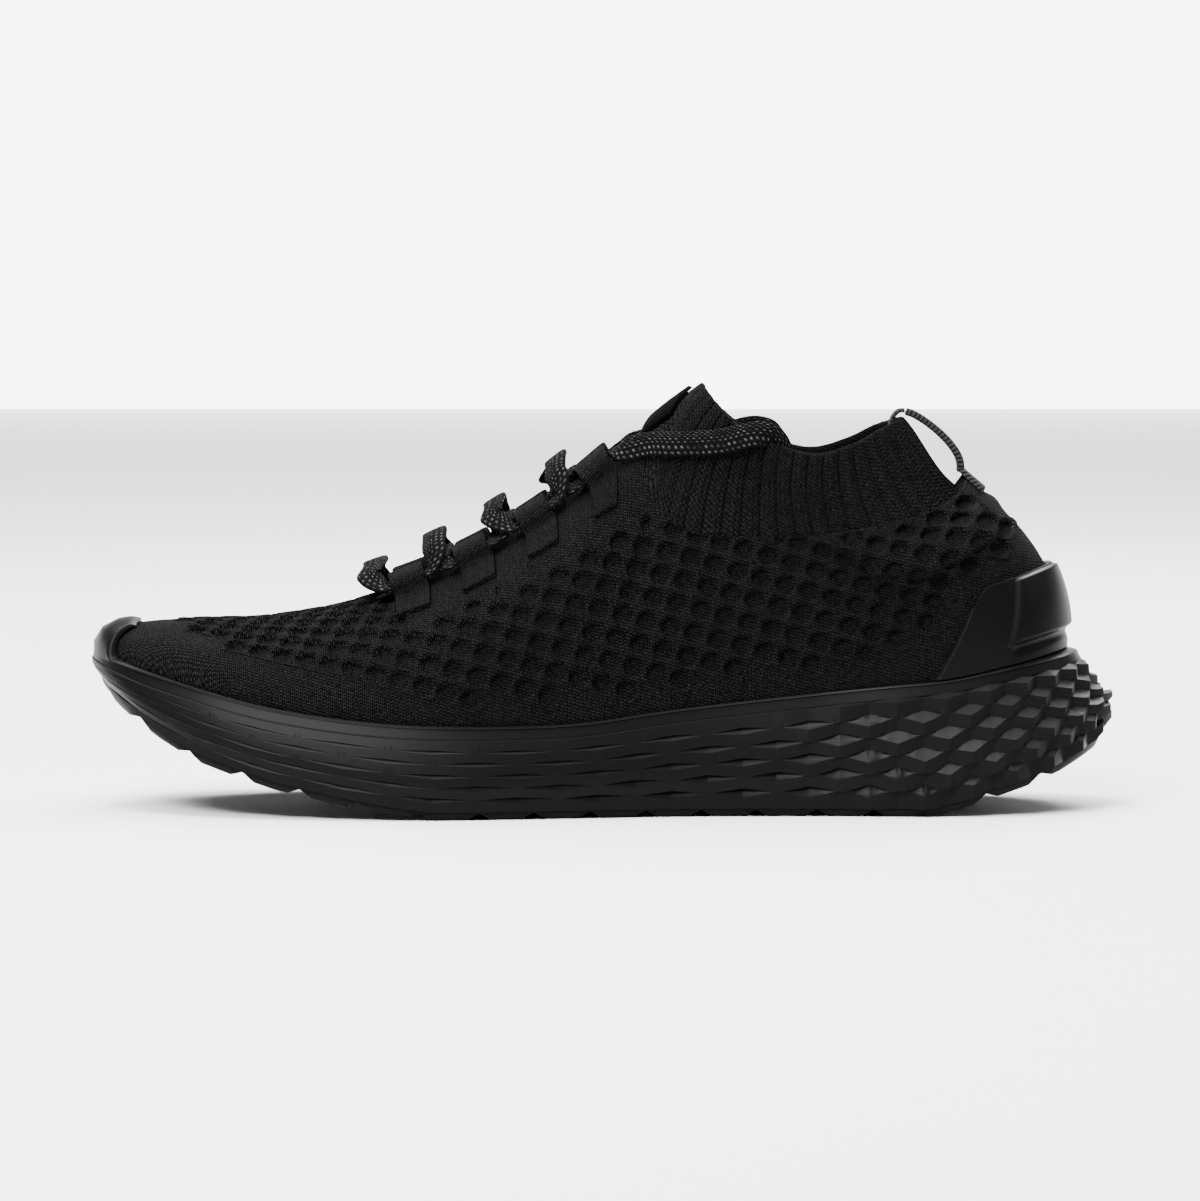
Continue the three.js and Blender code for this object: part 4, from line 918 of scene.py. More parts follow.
def knit_half(name, side, columns, rows):
    """Half of the outer knit: the face, lowered by the pits, with a rolled edge at the seam. The
    medial half counts its rows of pits as the lateral one does, so they meet at the ridge."""
    s = np.linspace(0, 1, columns)
    u, twin = (s / 2 if side < 0 else 1 - s / 2), s / 2
    top = seam_v(u)
    r = np.concatenate([np.linspace(0, 1, rows), [1.0, 1.0, 1.0, 1.0]])
    inward = np.concatenate([np.zeros(rows), [0.35, 1.0, 2.2, 4.2]])
    v = r[:, None] * top[None]
    base, out = face(u[None], v), normal(u[None], v)
    run, mirror = cloth_run(base, u), cloth_run(face(twin[None], v), twin)
    q = run - run[-1:] + mirror[-1:]
    p = base[..., 0].copy()
    across = np.hypot(base[..., 1] - base[-1:, :, 1], 0.8 * (base[..., 2] - base[-1:, :, 2]))
    over_toe = smooth((-104 - p) / 12)
    q = mix(q, q[-1:] - across, over_toe * (p < -100))
    slope = np.gradient(base[..., 2], axis=0) / np.maximum(np.gradient(run, axis=0), 1e-3)
    edge = 1 - smooth((r - 0.985) / 0.015)[:, None] * (s > COLLAR_START)[None]
    height = (pit_height(p, q, base[..., 2], slope) + ankle_swell(p, base[..., 2])) * edge
    lip = (s > COLLAR_START)[None] * mix(0.12, 1, smooth((s - 0.7) / 0.2))[None]
    height -= inward[:, None] * lip
    pts = base + out * height[..., None]
    pts[rows:, :, 2] -= (inward[rows:, None] * 0.12 - 0.25) * lip
    uv = np.stack([p, q], -1) * 0.01
    if side > 0:
        pts, uv = pts[:, ::-1], uv[:, ::-1]
    obj = grid_object(name, pts, uv, weld=True)
    finish_piece(obj, KNIT, "shoe", "knit_upper")


COLUMNS, ROWS = ((600, 150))
knit_half("knit_lateral", -1, COLUMNS, ROWS)
knit_half("knit_medial", 1, COLUMNS, ROWS)

# %% [markdown]
# ## Ribbed collar
# A rib is knitted double and stretches, so it hugs the ankle. It starts under the outer knit,
# climbs to the ankle edge, rolls over it and goes down inside. Plump main ribs with finer ones
# between fan out toward the edge. An array of single ribs would not fan; two cosines round the
# ankle, added to the face's height, do.
# %% Ribbed collar
RIB_COUNT, RIB_HIGH, RIB_STEP = 44, 1.3, 0.24


def rib_collar(columns):
    """Outer face with ribs: a main wave and one of a third of its width; the roll over the edge
    is a half circle between the outer and the inner face."""
    w = np.linspace(0, 1, columns, endpoint=False)
    climbing, falling = np.linspace(-0.06, 1, 46), np.linspace(1, 0.0, 24)
    roll = np.linspace(0, math.pi, 9)[1:-1]
    half = COLLAR_THICK / 2
    r = np.concatenate([climbing, np.ones_like(roll), falling])
    depth = np.concatenate([0 * climbing, half * (1 - np.cos(roll)), 0 * falling + 2 * half])
    rise = np.concatenate([0 * climbing, half * np.sin(roll), 0 * falling])
    rear = smooth((0.2 - np.abs(w - 0.5)) / 0.2)
    ww, rr = np.broadcast_arrays(w[None], mix(0.04, 1, r)[:, None])
    u, v = collar_share(ww, np.clip(rr, -0.05, 1))
    v = np.minimum(v, 1)
    front = smooth((0.5 - np.abs(w - 0.5)) / 0.16)
    start = mix(0.3, COLLAR_INSET, front) + REAR_INSET * rear
    inset = mix(start[None], 0.2, smooth(np.clip(r, 0, 1))[:, None])
    main = np.abs(np.cos(math.pi * RIB_COUNT * ww)) ** 0.8
    fine = np.abs(np.cos(3 * math.pi * RIB_COUNT * ww)) ** 0.7
    ribs = (RIB_HIGH * main + RIB_HIGH / 2 * fine - 1.2) * mix(0.15, 1, front)[None]
    ribs = ribs * (1 - smooth(depth[:, None] / COLLAR_THICK))
    base, out = face(u, v), normal(u, v)
    up = unit(face(u, v) - face(u, np.maximum(v - 0.02, 0)))
    pts = base + out * (-inset - depth[:, None] + ribs)[..., None] + up * rise[:, None, None]
    girth = np.linspace(0, columns * RIB_STEP, columns + 1)
    run = run_along(pts[:, columns // 4])
    uv = run_uv(girth, run)
    obj = grid_object("collar_rib", pts, uv, wrap_columns=True)
    finish_piece(obj, RIB, "shoe", "rib_collar")


rib_collar(1188)

# %% [markdown]
# ## Lining sock
# Inside the knit and the rib sits a thin smooth sock, open at the top and closed by the foot bed
# below. Solidify could thicken one sheet, but it would keep one thickness all the way. Two copies
# of the face, moved inward and joined along the top, let it be thicker at the foot bed than above.
# %% Lining sock


def lining_piece():
    """Inner sock: the face moved inward, from the foot bed up to the inside of the rib."""
    u = np.linspace(0, 1, 260, endpoint=False)
    r = np.linspace(0, 1, 40)
    uu, rr = np.broadcast_arrays(u[None], r[:, None])
    v = rr * seam_v(u)[None]
    inner = KNIT_THICK + 2 * GAP + LINING_THICK + 1.5 * smooth(v / 0.1)
    outer = mix(inner - LINING_THICK, inner - 0.6, smooth(v / 0.2))
    inside, outside = skin(uu, v, -inner), skin(uu, v, -outer)
    pts = np.concatenate([outside, inside[::-1]])
    uv = run_uv(np.linspace(0, 600, 261), np.linspace(0, 200, 80))
    obj = grid_object("sock_lining", pts, uv, wrap_columns=True, weld=True)
    finish_piece(obj, LINING, "shoe", "bootie_lining")


lining_piece()

# %% [markdown]
# ## Midsole
# The midsole is moulded foam. Its sidewall is a lattice of six rows whose lines draw together
# toward the toe: slim pockets with a sloping floor at the front and middle, and toward the heel a
# chequer of blocks, where each row is a step of its own. Cutting every pocket with a boolean would
# leave torn faces on a wall that curves both ways. So the wall is one grid whose rows of points
# follow the edges of the lattice, and the shape is in how far each row stands out.
# %% Midsole
LATTICE_ROWS, RIM_BAND, BASE = 6, 3.2, OUTSOLE_THICK
PITCH = [[-150, 22], [-135, 26], [-73, 27], [6, 22], [44, 19.7], [79, 16.5], [100, 14],
         [120, 12], [150, 11.5]]
ZIGZAG = [[-150, 0], [50, 0], [75, 0.6], [95, 1.1], [110, 1.25], [130, 1.25], [150, 1.15]]
# Rows of x, half width of a pocket in pitches, how far it opens.
POCKET = [[-150, 0.47, 0.5], [-130, 0.48, 0.6], [-90, 0.48, 0.65], [-50, 0.47, 0.7],
          [0, 0.44, 0.85], [40, 0.42, 1.0], [70, 0.42, 0.9], [95, 0.42, 0.2], [105, 0.4, 0], [150, 0.4, 0]]
POCKET_LEAN, RIM_STEP = 0.5, 0.5
STAIR_X, STAIR_RUN, STAIR = 50, 50, 0.9


def wall(u, w_out, w_up, base, out=0.0):
    """Sidewall point: how far it stands out is read at level w_out, its height at w_up."""
    key = plan(u)[0] / STRETCH_X
    offsets = [along(SIDE_OFFSET, key, k + 1) + 0 * w_out for k in range(4)]
    x, y, _, _ = plan(u, through(SIDE_LEVELS, offsets, w_out) + out)
    low = ground_z(x) + base
    return xyz(x, y, mix(low, feather_z(plan(u)[0]), w_up))


def lattice_phase():
    """Count of lattice pitches from the toe, as a table over the share of the half girth."""
    s = np.linspace(0, 1, 800)
    p = wall(s / 2, np.full(800, .5), np.full(800, .5), BASE)
    step = np.linalg.norm(np.diff(p, axis=0), axis=1)
    rate = 1 / np.interp(p[:, 0] / STRETCH_X, *np.array(PITCH, float).T)
    return s, np.concatenate([[0], np.cumsum(step * (rate[1:] + rate[:-1]) / 2)])


PHASE_S, PHASE = lattice_phase()


def wall_rows(u):
    """Levels and outward shifts of every lattice row over the columns u.

    From the toe to the middle, slim rhombic pockets lie between the rows: a floor that climbs
    inward, a short upright back, and the face hanging over it. Toward the heel each row
    zigzags in plan, opposite to its neighbours: where the row below stands out further, a
    slope climbs in to the row, where it stands back the row hangs over it."""
    x = plan(u)[0] / STRETCH_X
    count = np.interp(share(u), PHASE_S, PHASE)
    tall = feather_z(plan(u)[0]) - ground_z(plan(u)[0]) - BASE
    rim = 1 - RIM_BAND / np.maximum(tall, 8) * np.clip(tall / 14, 0.6, 1)
    high = tall * rim / LATTICE_ROWS
    reach = np.interp(x, *np.array(ZIGZAG, float).T)
    width, open_share = [np.interp(x, *np.array(POCKET, float)[:, [0, k]].T) for k in (1, 2)]
    stair = STAIR * smooth((x - STAIR_X) / STAIR_RUN)
    offsets = [along(SIDE_OFFSET, x, k + 1) for k in range(4)]

    def base(level):
        """How far the plain wall stands out at a share of the lattice's height."""
        return through(SIDE_LEVELS, offsets, np.maximum(level, 0.2) * rim + 0 * x)
    rows = [stair * base((j + 0.5) / LATTICE_ROWS) + reach * triangle(count + 0.5 * (j % 2))
            for j in range(LATTICE_ROWS)]
    rows = [rows[0]] + rows + [stair * base(1.0) - 0.4 * reach - RIM_STEP]
    edges = []
    for j, (below, here) in enumerate(zip(rows, rows[1:])):
        rise = np.clip((below - here) * mix(1.5, 0.75, j / LATTICE_ROWS) / high, 0, 0.75)
        lens = np.clip(1 - np.abs((count + 0.5 * (j % 2) - 0.25) % 1 - 0.5) / width, 0, 1)
        opening = open_share * mix(1.2, 0.65, j / LATTICE_ROWS) * (0 < j < LATTICE_ROWS)
        drop, lift = 0.3 * opening * lens, 0.33 * opening * lens ** 0.7
        edges.append((j - 0.5 * rise - drop, j + 0.5 * rise + lift))
    edges.append((np.full_like(x, LATTICE_ROWS + 0.2),) * 2)
    up, out = [], []
    for j, (below, here) in enumerate(zip(rows, rows[1:])):
        low, top = edges[j]
        deep = POCKET_LEAN * high * (top - low) * np.clip(1 - np.abs(below - here) / 1.5, 0, 1)
        deep = deep * (0 < j < LATTICE_ROWS)
        start, back = np.maximum(below, here), here - deep
        steps = [(low, start), (mix(low, top, 0.45), mix(start, back, 0.5)),
                 (mix(low, top, 0.88), back), (top, back), (top + 0.01, here)]
        if j < LATTICE_ROWS:
            after = edges[j + 1][0]
            steps += [(mix(top, after, 0.5), here), (after - 0.001, here)]
        for level, stand in steps:
            up.append(level * rim / LATTICE_ROWS)
            out.append(stand + (1 - stair) * base(level / LATTICE_ROWS))
    return np.array(up), np.array(out), rim, x

# %% [markdown]
# ## Midsole wall
# Above the lattice the foam ends in a plain rim, and it climbs over the toe as a smooth bumper.
# Behind the rim the same grid goes down again between foam and knit, as far as the foot bed, so
# the foam has an inner face too. Each side of the shoe is one strip.
# %% Midsole wall


def bumper(u):
    """1 where the foam climbs over the toe, 0 along the sides."""
    return 1 - smooth((share(u) - BUMPER_REACH) / BUMPER_RAMP)


def midsole_wall(name, u):
    """Strip of sidewall from the outsole up over the rim and down behind the knit."""
    up, out, rim, x = wall_rows(u)
    px, py, _, _ = plan(np.broadcast_to(u[None], up.shape), out)
    low = ground_z(px) + BASE
    rows = [xyz(px, py, mix(low, feather_z(plan(u)[0])[None], up))]
    for w in (0.1, 0.3, 0.6, 0.85, 1.0):
        level = mix(rim, 1, w)
        rows.append(wall(u, level, level, BASE, 0.1 - RIM_STEP)[None])
    rise = mix(RIM_HEIGHT, BUMPER_HEIGHT, bumper(u))
    edge = along(SIDE_OFFSET, x, 4)
    thin = np.maximum(1.2, edge * 0.45)
    inner = GAP * (1 + 1.6 * bumper(u))
    for part, shift in ((0.3, edge * 0.97), (0.6, edge * 0.86), (0.85, mix(thin, edge, 0.45)),
                        (0.96, mix(thin, edge, 0.2)), (1.0, thin * 0.85), (1.02, thin * 0.55),
                        (1.0, inner + 0.1), (0.6, inner), (0.0, inner)):
        rows.append(skin(u, climb(u, rise * part), shift)[None])
    bed = face(u, np.zeros_like(u))
    bed[:, 2] -= DISH
    rows.append(bed[None])
    bottom = wall(u, np.zeros_like(u), np.zeros_like(u), BASE, -2.0)[None]
    pts = np.concatenate([bottom] + rows)
    uv = run_uv(run_along(pts[len(pts) // 2]), run_along(pts.mean(1)))
    obj = grid_object(name, pts, uv, sharp=35)
    finish_piece(obj, FOAM, "shoe", "midsole")


SIDE_COLUMNS = 1100
midsole_wall("midsole_lateral", np.linspace(0, 0.5, SIDE_COLUMNS))
midsole_wall("midsole_medial", np.linspace(0.5, 1, SIDE_COLUMNS))
print("lattice pitches from toe to heel", PHASE[-1].round(1))

# %% [markdown]
# ## Foam core and foot bed
# Under the foot the foam is solid, and on it lies a loose foot bed: firm foam with a cloth cover.
# All three are plates that follow the sole's outline and its rise at the toe. A flat plate could
# be bent with a lattice or a simple-deform modifier. Rings of the outline, closed by lids whose
# heights are read from the same curves, need no bending and fit the wall round them.
# %% Foam core and foot bed


def plate_piece(name, rings, low, high, material, *nodes):
    """A plate: a stack of outline rings with domed lids that follow heights low and high."""
    s = np.linspace(0, 1, 121)
    u_side = np.concatenate([s / 2, 1 - s[-2:0:-1] / 2])
    body = [ring(u_side) for ring in rings]
    across = np.linspace(0, 1, 15)

    def lid(ring, level):
        """Lid between the two sides of a ring, at a height for each x."""
        a, b = ring(s / 2), ring((1 - s / 2) % 1)
        grid = mix(a[None], b[None], across[:, None, None])
        grid[1:-1, :, 2] = level(grid[1:-1, :, 0])
        return grid
    parts = [lid(rings[0], low)[::-1], lid(rings[-1], high)]
    verts, quads, base = [], [], 0
    for grid, wrap in ((np.array(body), True), (parts[0], False), (parts[1], False)):
        n, m = grid.shape[:2]
        index = base + np.arange(n * m).reshape(n, m)
        if wrap:
            index = np.hstack([index, index[:, :1]])
        quads.append(grid_quads(index))
        verts.append(grid.reshape(-1, 3))
        base += n * m
    verts, quads = np.concatenate(verts), np.concatenate(quads)
    uv = verts[quads.reshape(-1), :2] * 0.01
    obj = build(name, verts, quads, uv, weld=True, sharp=50)
    finish_piece(obj, material, "shoe", *nodes)


def bed_ring(off, dz):
    """Outline moved outward by off, dz above the feather line."""
    def ring(u):
        x, y, _, _ = plan(u, off)
        return xyz(x, y, feather_z(x) + dz)
    return ring


def floor_ring(out, rise):
    """Outline of the ground face moved outward by out, rise above the ground."""
    def ring(u):
        return wall(u, np.zeros_like(u), np.zeros_like(u), rise, out)
    return ring


plate_piece("midsole_core", [floor_ring(-1.9, BASE), bed_ring(-0.2, -DISH)],
            lambda x: ground_z(x) + BASE, lambda x: feather_z(x) - DISH, FOAM, "midsole")
plate_piece("foot_bed_foam", [bed_ring(-6.8, -1.8), bed_ring(-6.2, -1.3), bed_ring(-6.2, 1.2),
                              bed_ring(-6.9, 1.8)],
            lambda x: feather_z(x) - 1.8, lambda x: feather_z(x) + 1.8, INNER_FOAM, "sockliner")
plate_piece("foot_bed_cloth", [bed_ring(-6.3, 2.1), bed_ring(-6.3, 2.5), bed_ring(-6.8, 2.8)],
            lambda x: feather_z(x) + 2.1, lambda x: feather_z(x) + 2.8, LINING, "sockliner_cover")

# %% [markdown]
# ## Outsole
# A thin sheet of hard rubber is glued under the foam. Grooves run across it and show as notches
# at its side, and three more run along it between the lugs. They could be cut with wedges, but
# the sheet is one grid across the sole, so a groove is only a change of height in it.
# %% Outsole
NOTCH_HALF, NOTCH_DEPTH, LONG_GROOVE = 3.4, 1.9, 1.1


def notch(x):
    """Depth of the V groove at x, zero away from every groove."""
    near = np.min(np.abs(x[..., None] - np.array(TREAD_X) * STRETCH_X), -1)
    return NOTCH_DEPTH * np.clip(1 - near / NOTCH_HALF, 0, 1)


def outsole_piece(columns):
    """A channel: side edge, ground face with grooves, other side edge."""
    s = np.linspace(0, 1, columns)
    lat, med = s / 2, (1 - s / 2) % 1
    zero = np.zeros_like(s)

    def edge(u, rise, out):
        """Line round the sole, rise above the ground and out from its outline."""
        return wall(u, zero, zero, rise, out)
    lip = [(OUTSOLE_THICK, -3.0), (OUTSOLE_THICK, -0.1), (2.1, 0.12), (0.9, 0.12)]
    rows = [edge(lat, rise, out) for rise, out in lip]
    left, right = edge(lat, 0, -0.6), edge(med, 0, -0.6)
    for t in np.linspace(0, 1, 61):
        p = mix(left, right, t)
        edge_in = min(t, 1 - t)
        groove = math.exp(-((edge_in - 0.2) / 0.02) ** 2) + math.exp(-((edge_in - 0.5) / 0.03) ** 2)
        p[:, 2] = ground_z(p[:, 0]) + np.maximum(notch(p[:, 0]), LONG_GROOVE * groove)
        rows.append(p)
    rows += [edge(med, rise, out) for rise, out in lip[::-1]]
    for k in (3, -4):
        rows[k][:, 2] += np.maximum(notch(rows[k][:, 0]) - 0.7, 0)
    pts = np.array(rows)[::-1]
    obj = grid_object("outsole_rubber", pts, pts[..., :2] * 0.01, weld=True, sharp=40)
    finish_piece(obj, RUBBER, "shoe", "outsole")


outsole_piece(1200)

# %% [markdown]
# ## Heel counter
# A moulded panel hugs the heel and stands on the rim of the foam, with a block at its back that
# stands proud. A flat panel with a Shrinkwrap modifier would lie on the cloth, but its thickness
# and the block would need more modifiers. Here the panel is the face itself, cut to a front edge
# that leans back and a top edge that climbs, and its height above the cloth draws the bevels.
# %% Heel counter


def counter_piece(columns, rows):
    """Panel from the front corner round the heel to the other side: p runs along it, q up it.
    A block with soft bevels stands proud at the back, with a recess under its lower edge."""
    p1 = np.linspace(0, 1, columns)
    q1 = np.concatenate([[0, 0], np.linspace(0, 1, rows), [1, 1]])
    rim = np.concatenate([[1.5, 0.6], np.zeros(rows), [0.6, 1.5]])
    strips = []
    for side in (-1, 1):
        p, q = np.broadcast_arrays(p1[None], q1[:, None])
        s = mix(COUNTER_FRONT + 0.042 * q, 1, p)
        u = s / 2 if side < 0 else (1 - s / 2) % 1
        low = climb(u, np.full_like(u, RIM_HEIGHT + 0.3))
        high = climb(u, mix(23.5, 25, smooth(p)) - 5 * (1 - smooth(p / 0.25)) ** 2)
        front = np.clip((0.035 - p) / 0.035, 0, 1) ** 2 * 1.3
        block = smooth((p - 0.33 - 0.05 * q) / 0.06) * smooth((q - 0.2) / 0.06) * smooth((0.985 - q) / 0.05)
        recess = smooth((p - 0.38) / 0.06) * np.exp(-((q - 0.165) / 0.05) ** 2)
        h = GAP + COUNTER_THICK - rim[:, None] - front + 1.35 * block - 0.7 * recess
        strips.append(skin(u, mix(low, high, q), np.maximum(h, 0.05)))
    pts = np.concatenate([strips[0], strips[1][:, ::-1][:, 1:]], 1)
    uv = np.stack([run_along(pts[len(pts) // 2])[None] + 0 * pts[..., 0], pts[..., 2]], -1) * 0.01
    obj = grid_object("heel_counter_panel", pts, uv, weld=True)
    finish_piece(obj, MOULDING, "shoe", "heel_counter")


counter_piece(170, 80)

# %% [markdown]
# ## Lace loops
# Four loops of ribbon stand on each side of the throat. Each is one strip: sewn flat on the knit,
# up round a tunnel for the lace, and back down over its own end. A path drawn across the loop and
# given the ribbon's width and thickness makes it, and flat coordinates on the face set it down.
# A curve with a flat bevel would look alike but would not bend with the face along its width.
# %% Lace loops


def band_grid(place, path, width, thick, side):
    """A ribbon bent along path (q, h) and as wide as width along a; rounded edges."""
    p = resample(np.asarray(path, float), 90)
    t = unit(np.gradient(p, axis=0))
    n = np.stack([-t[:, 1], t[:, 0]], -1)
    a = np.linspace(-1, 1, 25)
    swell = np.sqrt(np.maximum(0, 1 - np.abs(a) ** 8)) * thick / 2
    top = p[:, None] + n[:, None] * swell[None, :, None]
    low = p[:, None] - n[:, None] * swell[None, :, None]
    loop = np.concatenate([top, low[:, ::-1][:, 1:-1]], 1)
    across = np.concatenate([a, a[::-1][1:-1]]) * width / 2
    cap = np.concatenate([p[:1, None].repeat(loop.shape[1], 1), loop,
                          p[-1:, None].repeat(loop.shape[1], 1)])
    pts = place(np.broadcast_to(across[None], cap.shape[:2]), -side * cap[..., 0], cap[..., 1])
    run = np.concatenate([[0], np.linspace(0, 60, 90), [60]])
    wide = np.append(across, across[0])
    uv = run_uv(wide, run)
    return (pts, uv) if side < 0 else (pts[::-1], uv[::-1])


def loop_piece(name, side, x):
    """Ribbon loop: sewn end on the knit, round the tunnel and back over itself."""
    place = sheet_frame(share_at_ridge(x), side * LOOP_T)
    half, top = TUNNEL / 2, GAP + 1.5 + TUNNEL_HIGH
    end = -half - 1 - LOOP_PATCH
    path = [(end, 0.3), (end + 0.6, 0.45), (-half - 3, 0.45), (0, 0.7), (half - 0.4, 0.7),
            (half + 0.6, GAP + 1.4), (half + 0.7, top - 1.2), (half - 0.6, top + 0.6), (0, top + 1.3),
            (-half + 1.6, top + 0.9), (-half + 0.2, top - 0.6), (-half - 0.1, top - 2.2),
            (-half - 1.2, 1.35), (-half - 3, 1.15), (end + 0.8, 1.15), (end + 0.1, 0.95)]
    pts, uv = band_grid(place, path, LOOP_WIDTH, 0.75, side)
    obj = grid_object(f"loop_{name}", pts, uv, wrap_columns=True, weld=True)
    finish_piece(obj, LOOP_TAPE, "shoe", f"lace_loop_{name}")


for word, sign in (("lateral", -1), ("medial", 1)):
    for number, loop_x in enumerate(LOOP_X):
        loop_piece(f"{word}_{number + 1}", sign, loop_x)

# %% [markdown]
# ## Lace
# One lace zigzags through all the loops. It starts as a bar in front of the first pair, and then
# its two halves cross over the throat between one pair and the next, one above the other. The
# route could be drawn by hand as one long curve. It is worked out here from the loops' places, so
# the lace still runs through them when they move.
# %% Lace
TURN_RADIUS, IN_LOOP = 4.8, (-4.5, -1.5, 1.5, 4.5)
BAR_REACH, BAR_HALF = 9.2, 10.8


def lace_stations():
    """Two strands cross the throat between loops. Each lies flat in a loop, turns in a quarter
    circle toward the ridge, arches over it and turns back into a loop of the other side."""

    def throat(x, t, h):
        """Point h above the throat at x on the ridge and t down from it, and its look."""
        s = share_at_ridge(x)
        u = s / 2 if t <= 0 else (1 - s / 2) % 1
        n = normal(u, 1 - abs(t))
        return skin(u, 1 - abs(t), h), n

    def turn(side, x, ahead, half, heights):
        """Quarter circle at one end of a loop, from the loop toward the ridge."""
        place = sheet_frame(share_at_ridge(x), side * LOOP_T)
        out = []
        for angle, h in zip((15, 40, 65, 90), heights):
            k = math.radians(angle)
            a = ahead * (half - TURN_RADIUS + TURN_RADIUS * math.sin(k))
            q = -side * TURN_RADIUS * (1 - math.cos(k))
            p = place(a, q, h)
            out.append((p, unit(p - place(a, q, 0.0))))
        return out

    def inside(side, x):
        """Straight stretch through the tunnel of one loop."""
        place = sheet_frame(share_at_ridge(x), side * LOOP_T)
        pts = [place(a, 0.0, LACE_LIFT) for a in IN_LOOP]
        return [(p, unit(p - place(a, 0.0, 0.0))) for p, a in zip(pts, IN_LOOP)]

    def strand(start, low, arch):
        """Half of the lace, from a first loop to a last one, changing side at each crossing."""
        side, pts = start, []
        for i, x in enumerate(LOOP_X):
            pts += inside(side, x)
            if i < len(LOOP_X) - 1:
                ahead = LOOP_X[i + 1]
                apart = ridge_point(np.array(float(ahead))) - ridge_point(np.array(float(x)))
                half = float(np.linalg.norm(apart)) / 2
                pts += turn(side, x, 1, half, low)
                pts += [throat((x + ahead) / 2, side * t, h) for t, h in zip((0.07, 0, -0.07), arch)]
                pts += turn(-side, ahead, -1, half, low)[::-1]
                side = -side
        return pts
    front = [throat(LOOP_X[0] - BAR_REACH, t, h) for t, h in ((0.07, 8.6), (0, 9.2), (-0.07, 8.6))]
    corners = [turn(side, LOOP_X[0], -1, BAR_HALF, (3.2, 4.6, 6.2, 7.4)) for side in (1, -1)]
    bar = corners[0] + front + corners[1][::-1]
    first = strand(1, (2.8, 2.8, 3.4, 4.0), (4.8, 5.2, 4.8))
    second = strand(-1, (3.2, 5.2, 7.2, 8.6), (10.2, 10.8, 10.2))
    return first[::-1] + bar + second


stations = lace_stations()
lace_pts, lace_looks = [np.array([row[k] for row in stations]) for k in (0, 1)]
lace_obj, lace_path = sweep("lace_run", lace_pts, lace_looks, LACE_WIDTH, LACE_THICK, 1100, 0.6)
finish_piece(lace_obj, LACE, "shoe", "lace")
print("lace between its loops, mm", round(run_along(lace_path)[-1]))

# %% [markdown]
# ## Tongue label
# A small woven label is sewn over the top of the tongue and bends with it. A cloth patch could be
# dropped on the tongue by simulation; it is small and sewn all round, so a sheet laid on the face,
# thinner at its border and with a groove for the seam, gives the same shape at once.
# %% Tongue label
LABEL_X, LABEL_LONG, LABEL_WIDE = 21.6, 14, 22


def label_piece():
    """Label bent over the ridge: a soft cushion edge and a stitched groove near its border."""
    place = sheet_frame(share_at_ridge(LABEL_X), 0.0)
    long, wide = LABEL_LONG / 2, LABEL_WIDE / 2
    a, q = np.linspace(-long, long, 60), np.linspace(-wide, wide, 90)
    aa, qq = np.broadcast_arrays(a[:, None], q[None])
    border = np.minimum(long - np.abs(aa), wide - np.abs(qq))
    h = GAP + 1.1 * np.sqrt(np.clip(border / 0.7, 0, 1)) - 0.3 * np.exp(-((border - 1.6) / 0.3) ** 2)
    top, low = place(aa, qq, h), place(aa, qq, np.full_like(h, GAP * 0.5))
    pts = np.concatenate([low[::-1][:1], top, low[-1:]])
    uv = np.stack([np.vstack([aa[:1], aa, aa[-1:]]), np.vstack([qq[:1], qq, qq[-1:]])], -1) * 0.01
    obj = grid_object("label_patch", pts[:, ::-1], uv[:, ::-1])
    finish_piece(obj, LABEL, "shoe", "tongue_label")


label_piece()

# %% [markdown]
# ## Heel pull tab
# A folded strap of herringbone tape stands behind the heel, to pull the shoe on. Its two ends are
# sewn down: one inside the ankle edge, one on the back of the heel. The free strap is a piece of
# its own because it swings between them, so it rides its own body, and the sewn ends stay on the
# shoe. A flat section carried along a path makes the strap and its top end. The low end lies on
# the heel, so it is a patch of the face.
# %% Pull tab


def strap(name, path, width, thick, body, node):
    """A flat strap in the middle plane along (x, z) points."""
    pts = np.array([(x * STRETCH_X, 0, z) for x, z in path], float)
    t = unit(np.gradient(pts, axis=0))
    looks = np.stack([-t[:, 2], 0 * t[:, 0], t[:, 0]], -1)
    obj, _ = sweep(name, pts, looks, width, thick, 120, 0.35, 28)
    finish_piece(obj, WEBBING, body, node)


strap("tab_strap", [(89.4, 115.2), (91.6, 114.4), (95.6, 111.9), (99.8, 108.4), (103, 104.8),
                    (104.9, 101.4), (105.4, 97.8)], 8.4, 2.2, "pull_tab", "heel_pull_tab")
strap("tab_anchor_top", [(88.8, 115.6), (87, 115.3), (85.2, 113), (84.7, 109), (84.9, 104)],
      9, 1.2, "shoe", "pull_tab_anchor_top")


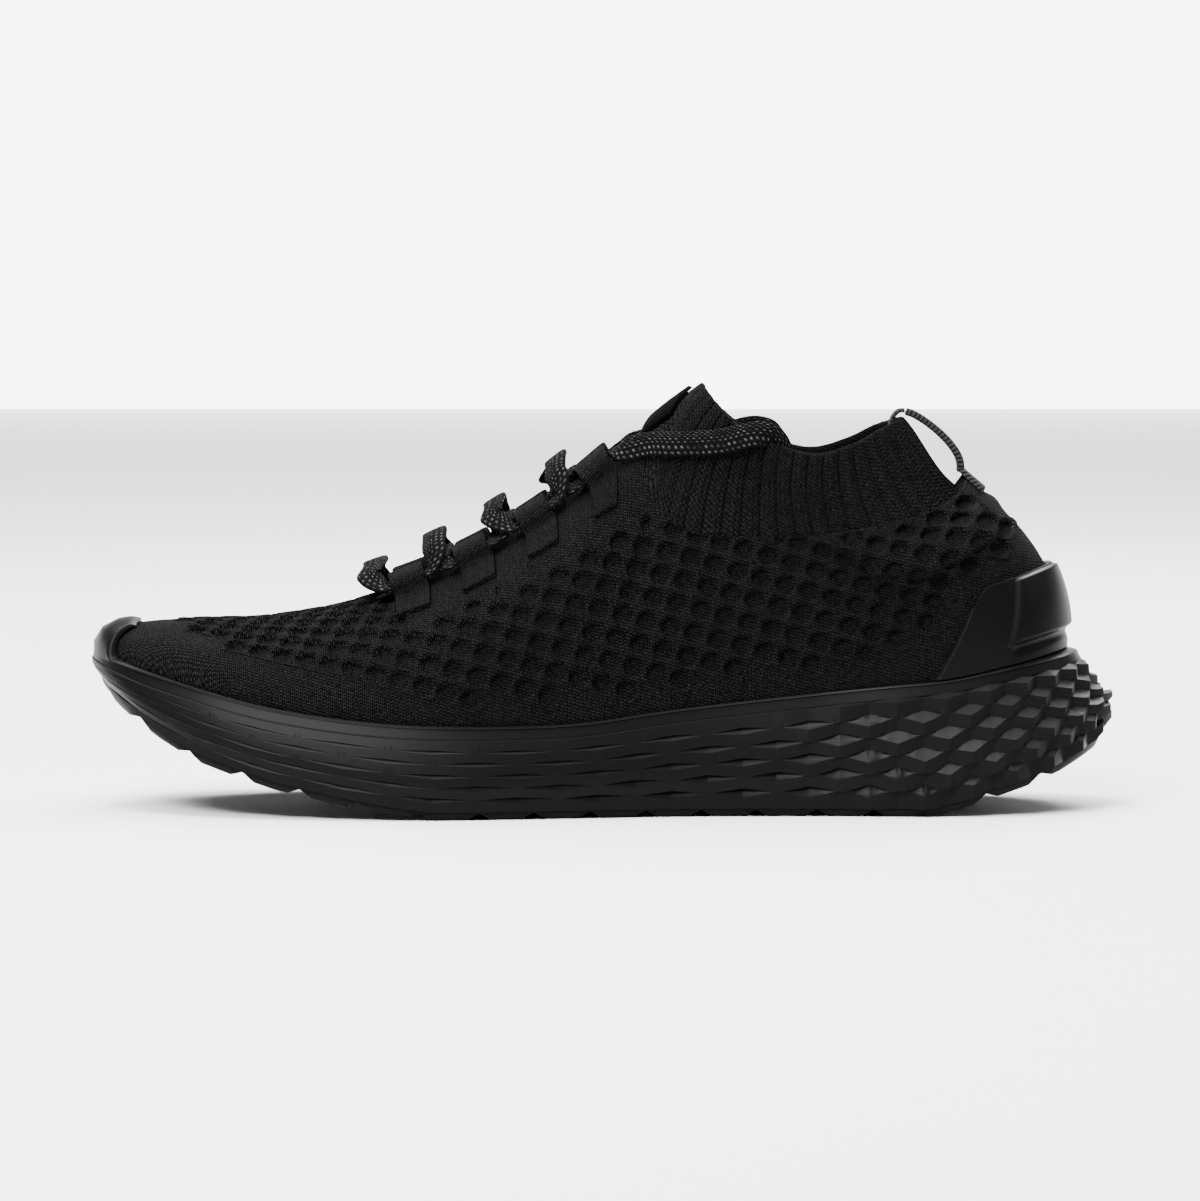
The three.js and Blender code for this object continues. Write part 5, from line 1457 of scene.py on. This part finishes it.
def low_anchor():
    """Sewn end of the strap: a patch of the face at the back of the heel, 10 wide, whose height
    falls away at its border."""
    reach = np.linalg.norm(face(0.502, 0.68) - face(0.498, 0.68)) / 0.004
    across = np.linspace(-5, 5, 40)
    u, v = 0.5 + across / reach, np.linspace(0.635, 0.75, 40)
    inward = 1 - np.abs(np.linspace(-1, 1, 40))
    rim = np.minimum(inward[None], inward[:, None])
    pts = skin(u[None], v[:, None], GAP + 1.3 * np.sqrt(np.clip(rim / 0.15, 0, 1)))
    uv = run_uv(across, np.linspace(0, 9, 40))
    obj = grid_object("tab_anchor_low", pts, uv)
    finish_piece(obj, WEBBING, "shoe", "pull_tab_anchor_low")


low_anchor()

# %% [markdown]
# ## Ankle pads and stiffeners
# Between knit and lining a cushion sits on each side of the ankle. It is thin moulded foam that
# keeps its shape, so a lens on the face says all of it and no simulation is needed. The toe puff,
# the heel stiffener and the board under the foot bed are hard sheets that nobody sees, so they
# stay as the frame has them and only get a material.
# %% Inner pieces
PAD_S, PAD_V = (0.79, 0.93), (0.34, 0.52)
PAD_BULGE, PAD_IN = 3.6, KNIT_THICK + GAP


def ankle_pad(name, side):
    """A lens-shaped cushion: its thickness falls to nothing at its border."""
    s, v = np.linspace(*PAD_S, 60), np.linspace(*PAD_V, 50)
    ss, vv = np.broadcast_arrays(s[None], v[:, None])
    u = ss / 2 if side < 0 else (1 - ss / 2) % 1
    a = (2 * ss - sum(PAD_S)) / (PAD_S[1] - PAD_S[0])
    b = (2 * vv - sum(PAD_V)) / (PAD_V[1] - PAD_V[0])
    bulge = PAD_BULGE * np.sqrt(np.clip((1 - a ** 4) * (1 - b ** 4), 0, 1)) + 0.02
    outer, inner = skin(u, vv, np.full_like(u, -PAD_IN)), skin(u, vv, -PAD_IN - bulge)
    pts = np.concatenate([outer, inner[::-1]])
    if side > 0:
        pts = pts[:, ::-1]
    obj = grid_object(f"pad_{name}", pts, None, wrap_rows=True, weld=True)
    finish_piece(obj, INNER_FOAM, "shoe", f"ankle_pad_{name}")


for word, sign in (("lateral", -1), ("medial", 1)):
    ankle_pad(word, sign)
for node, material in (("strobel_board", BOARD), ("toe_puff", PLASTIC), ("heel_stiffener", PLASTIC)):
    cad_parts[node].data.materials.clear()
    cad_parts[node].data.materials.append(material)
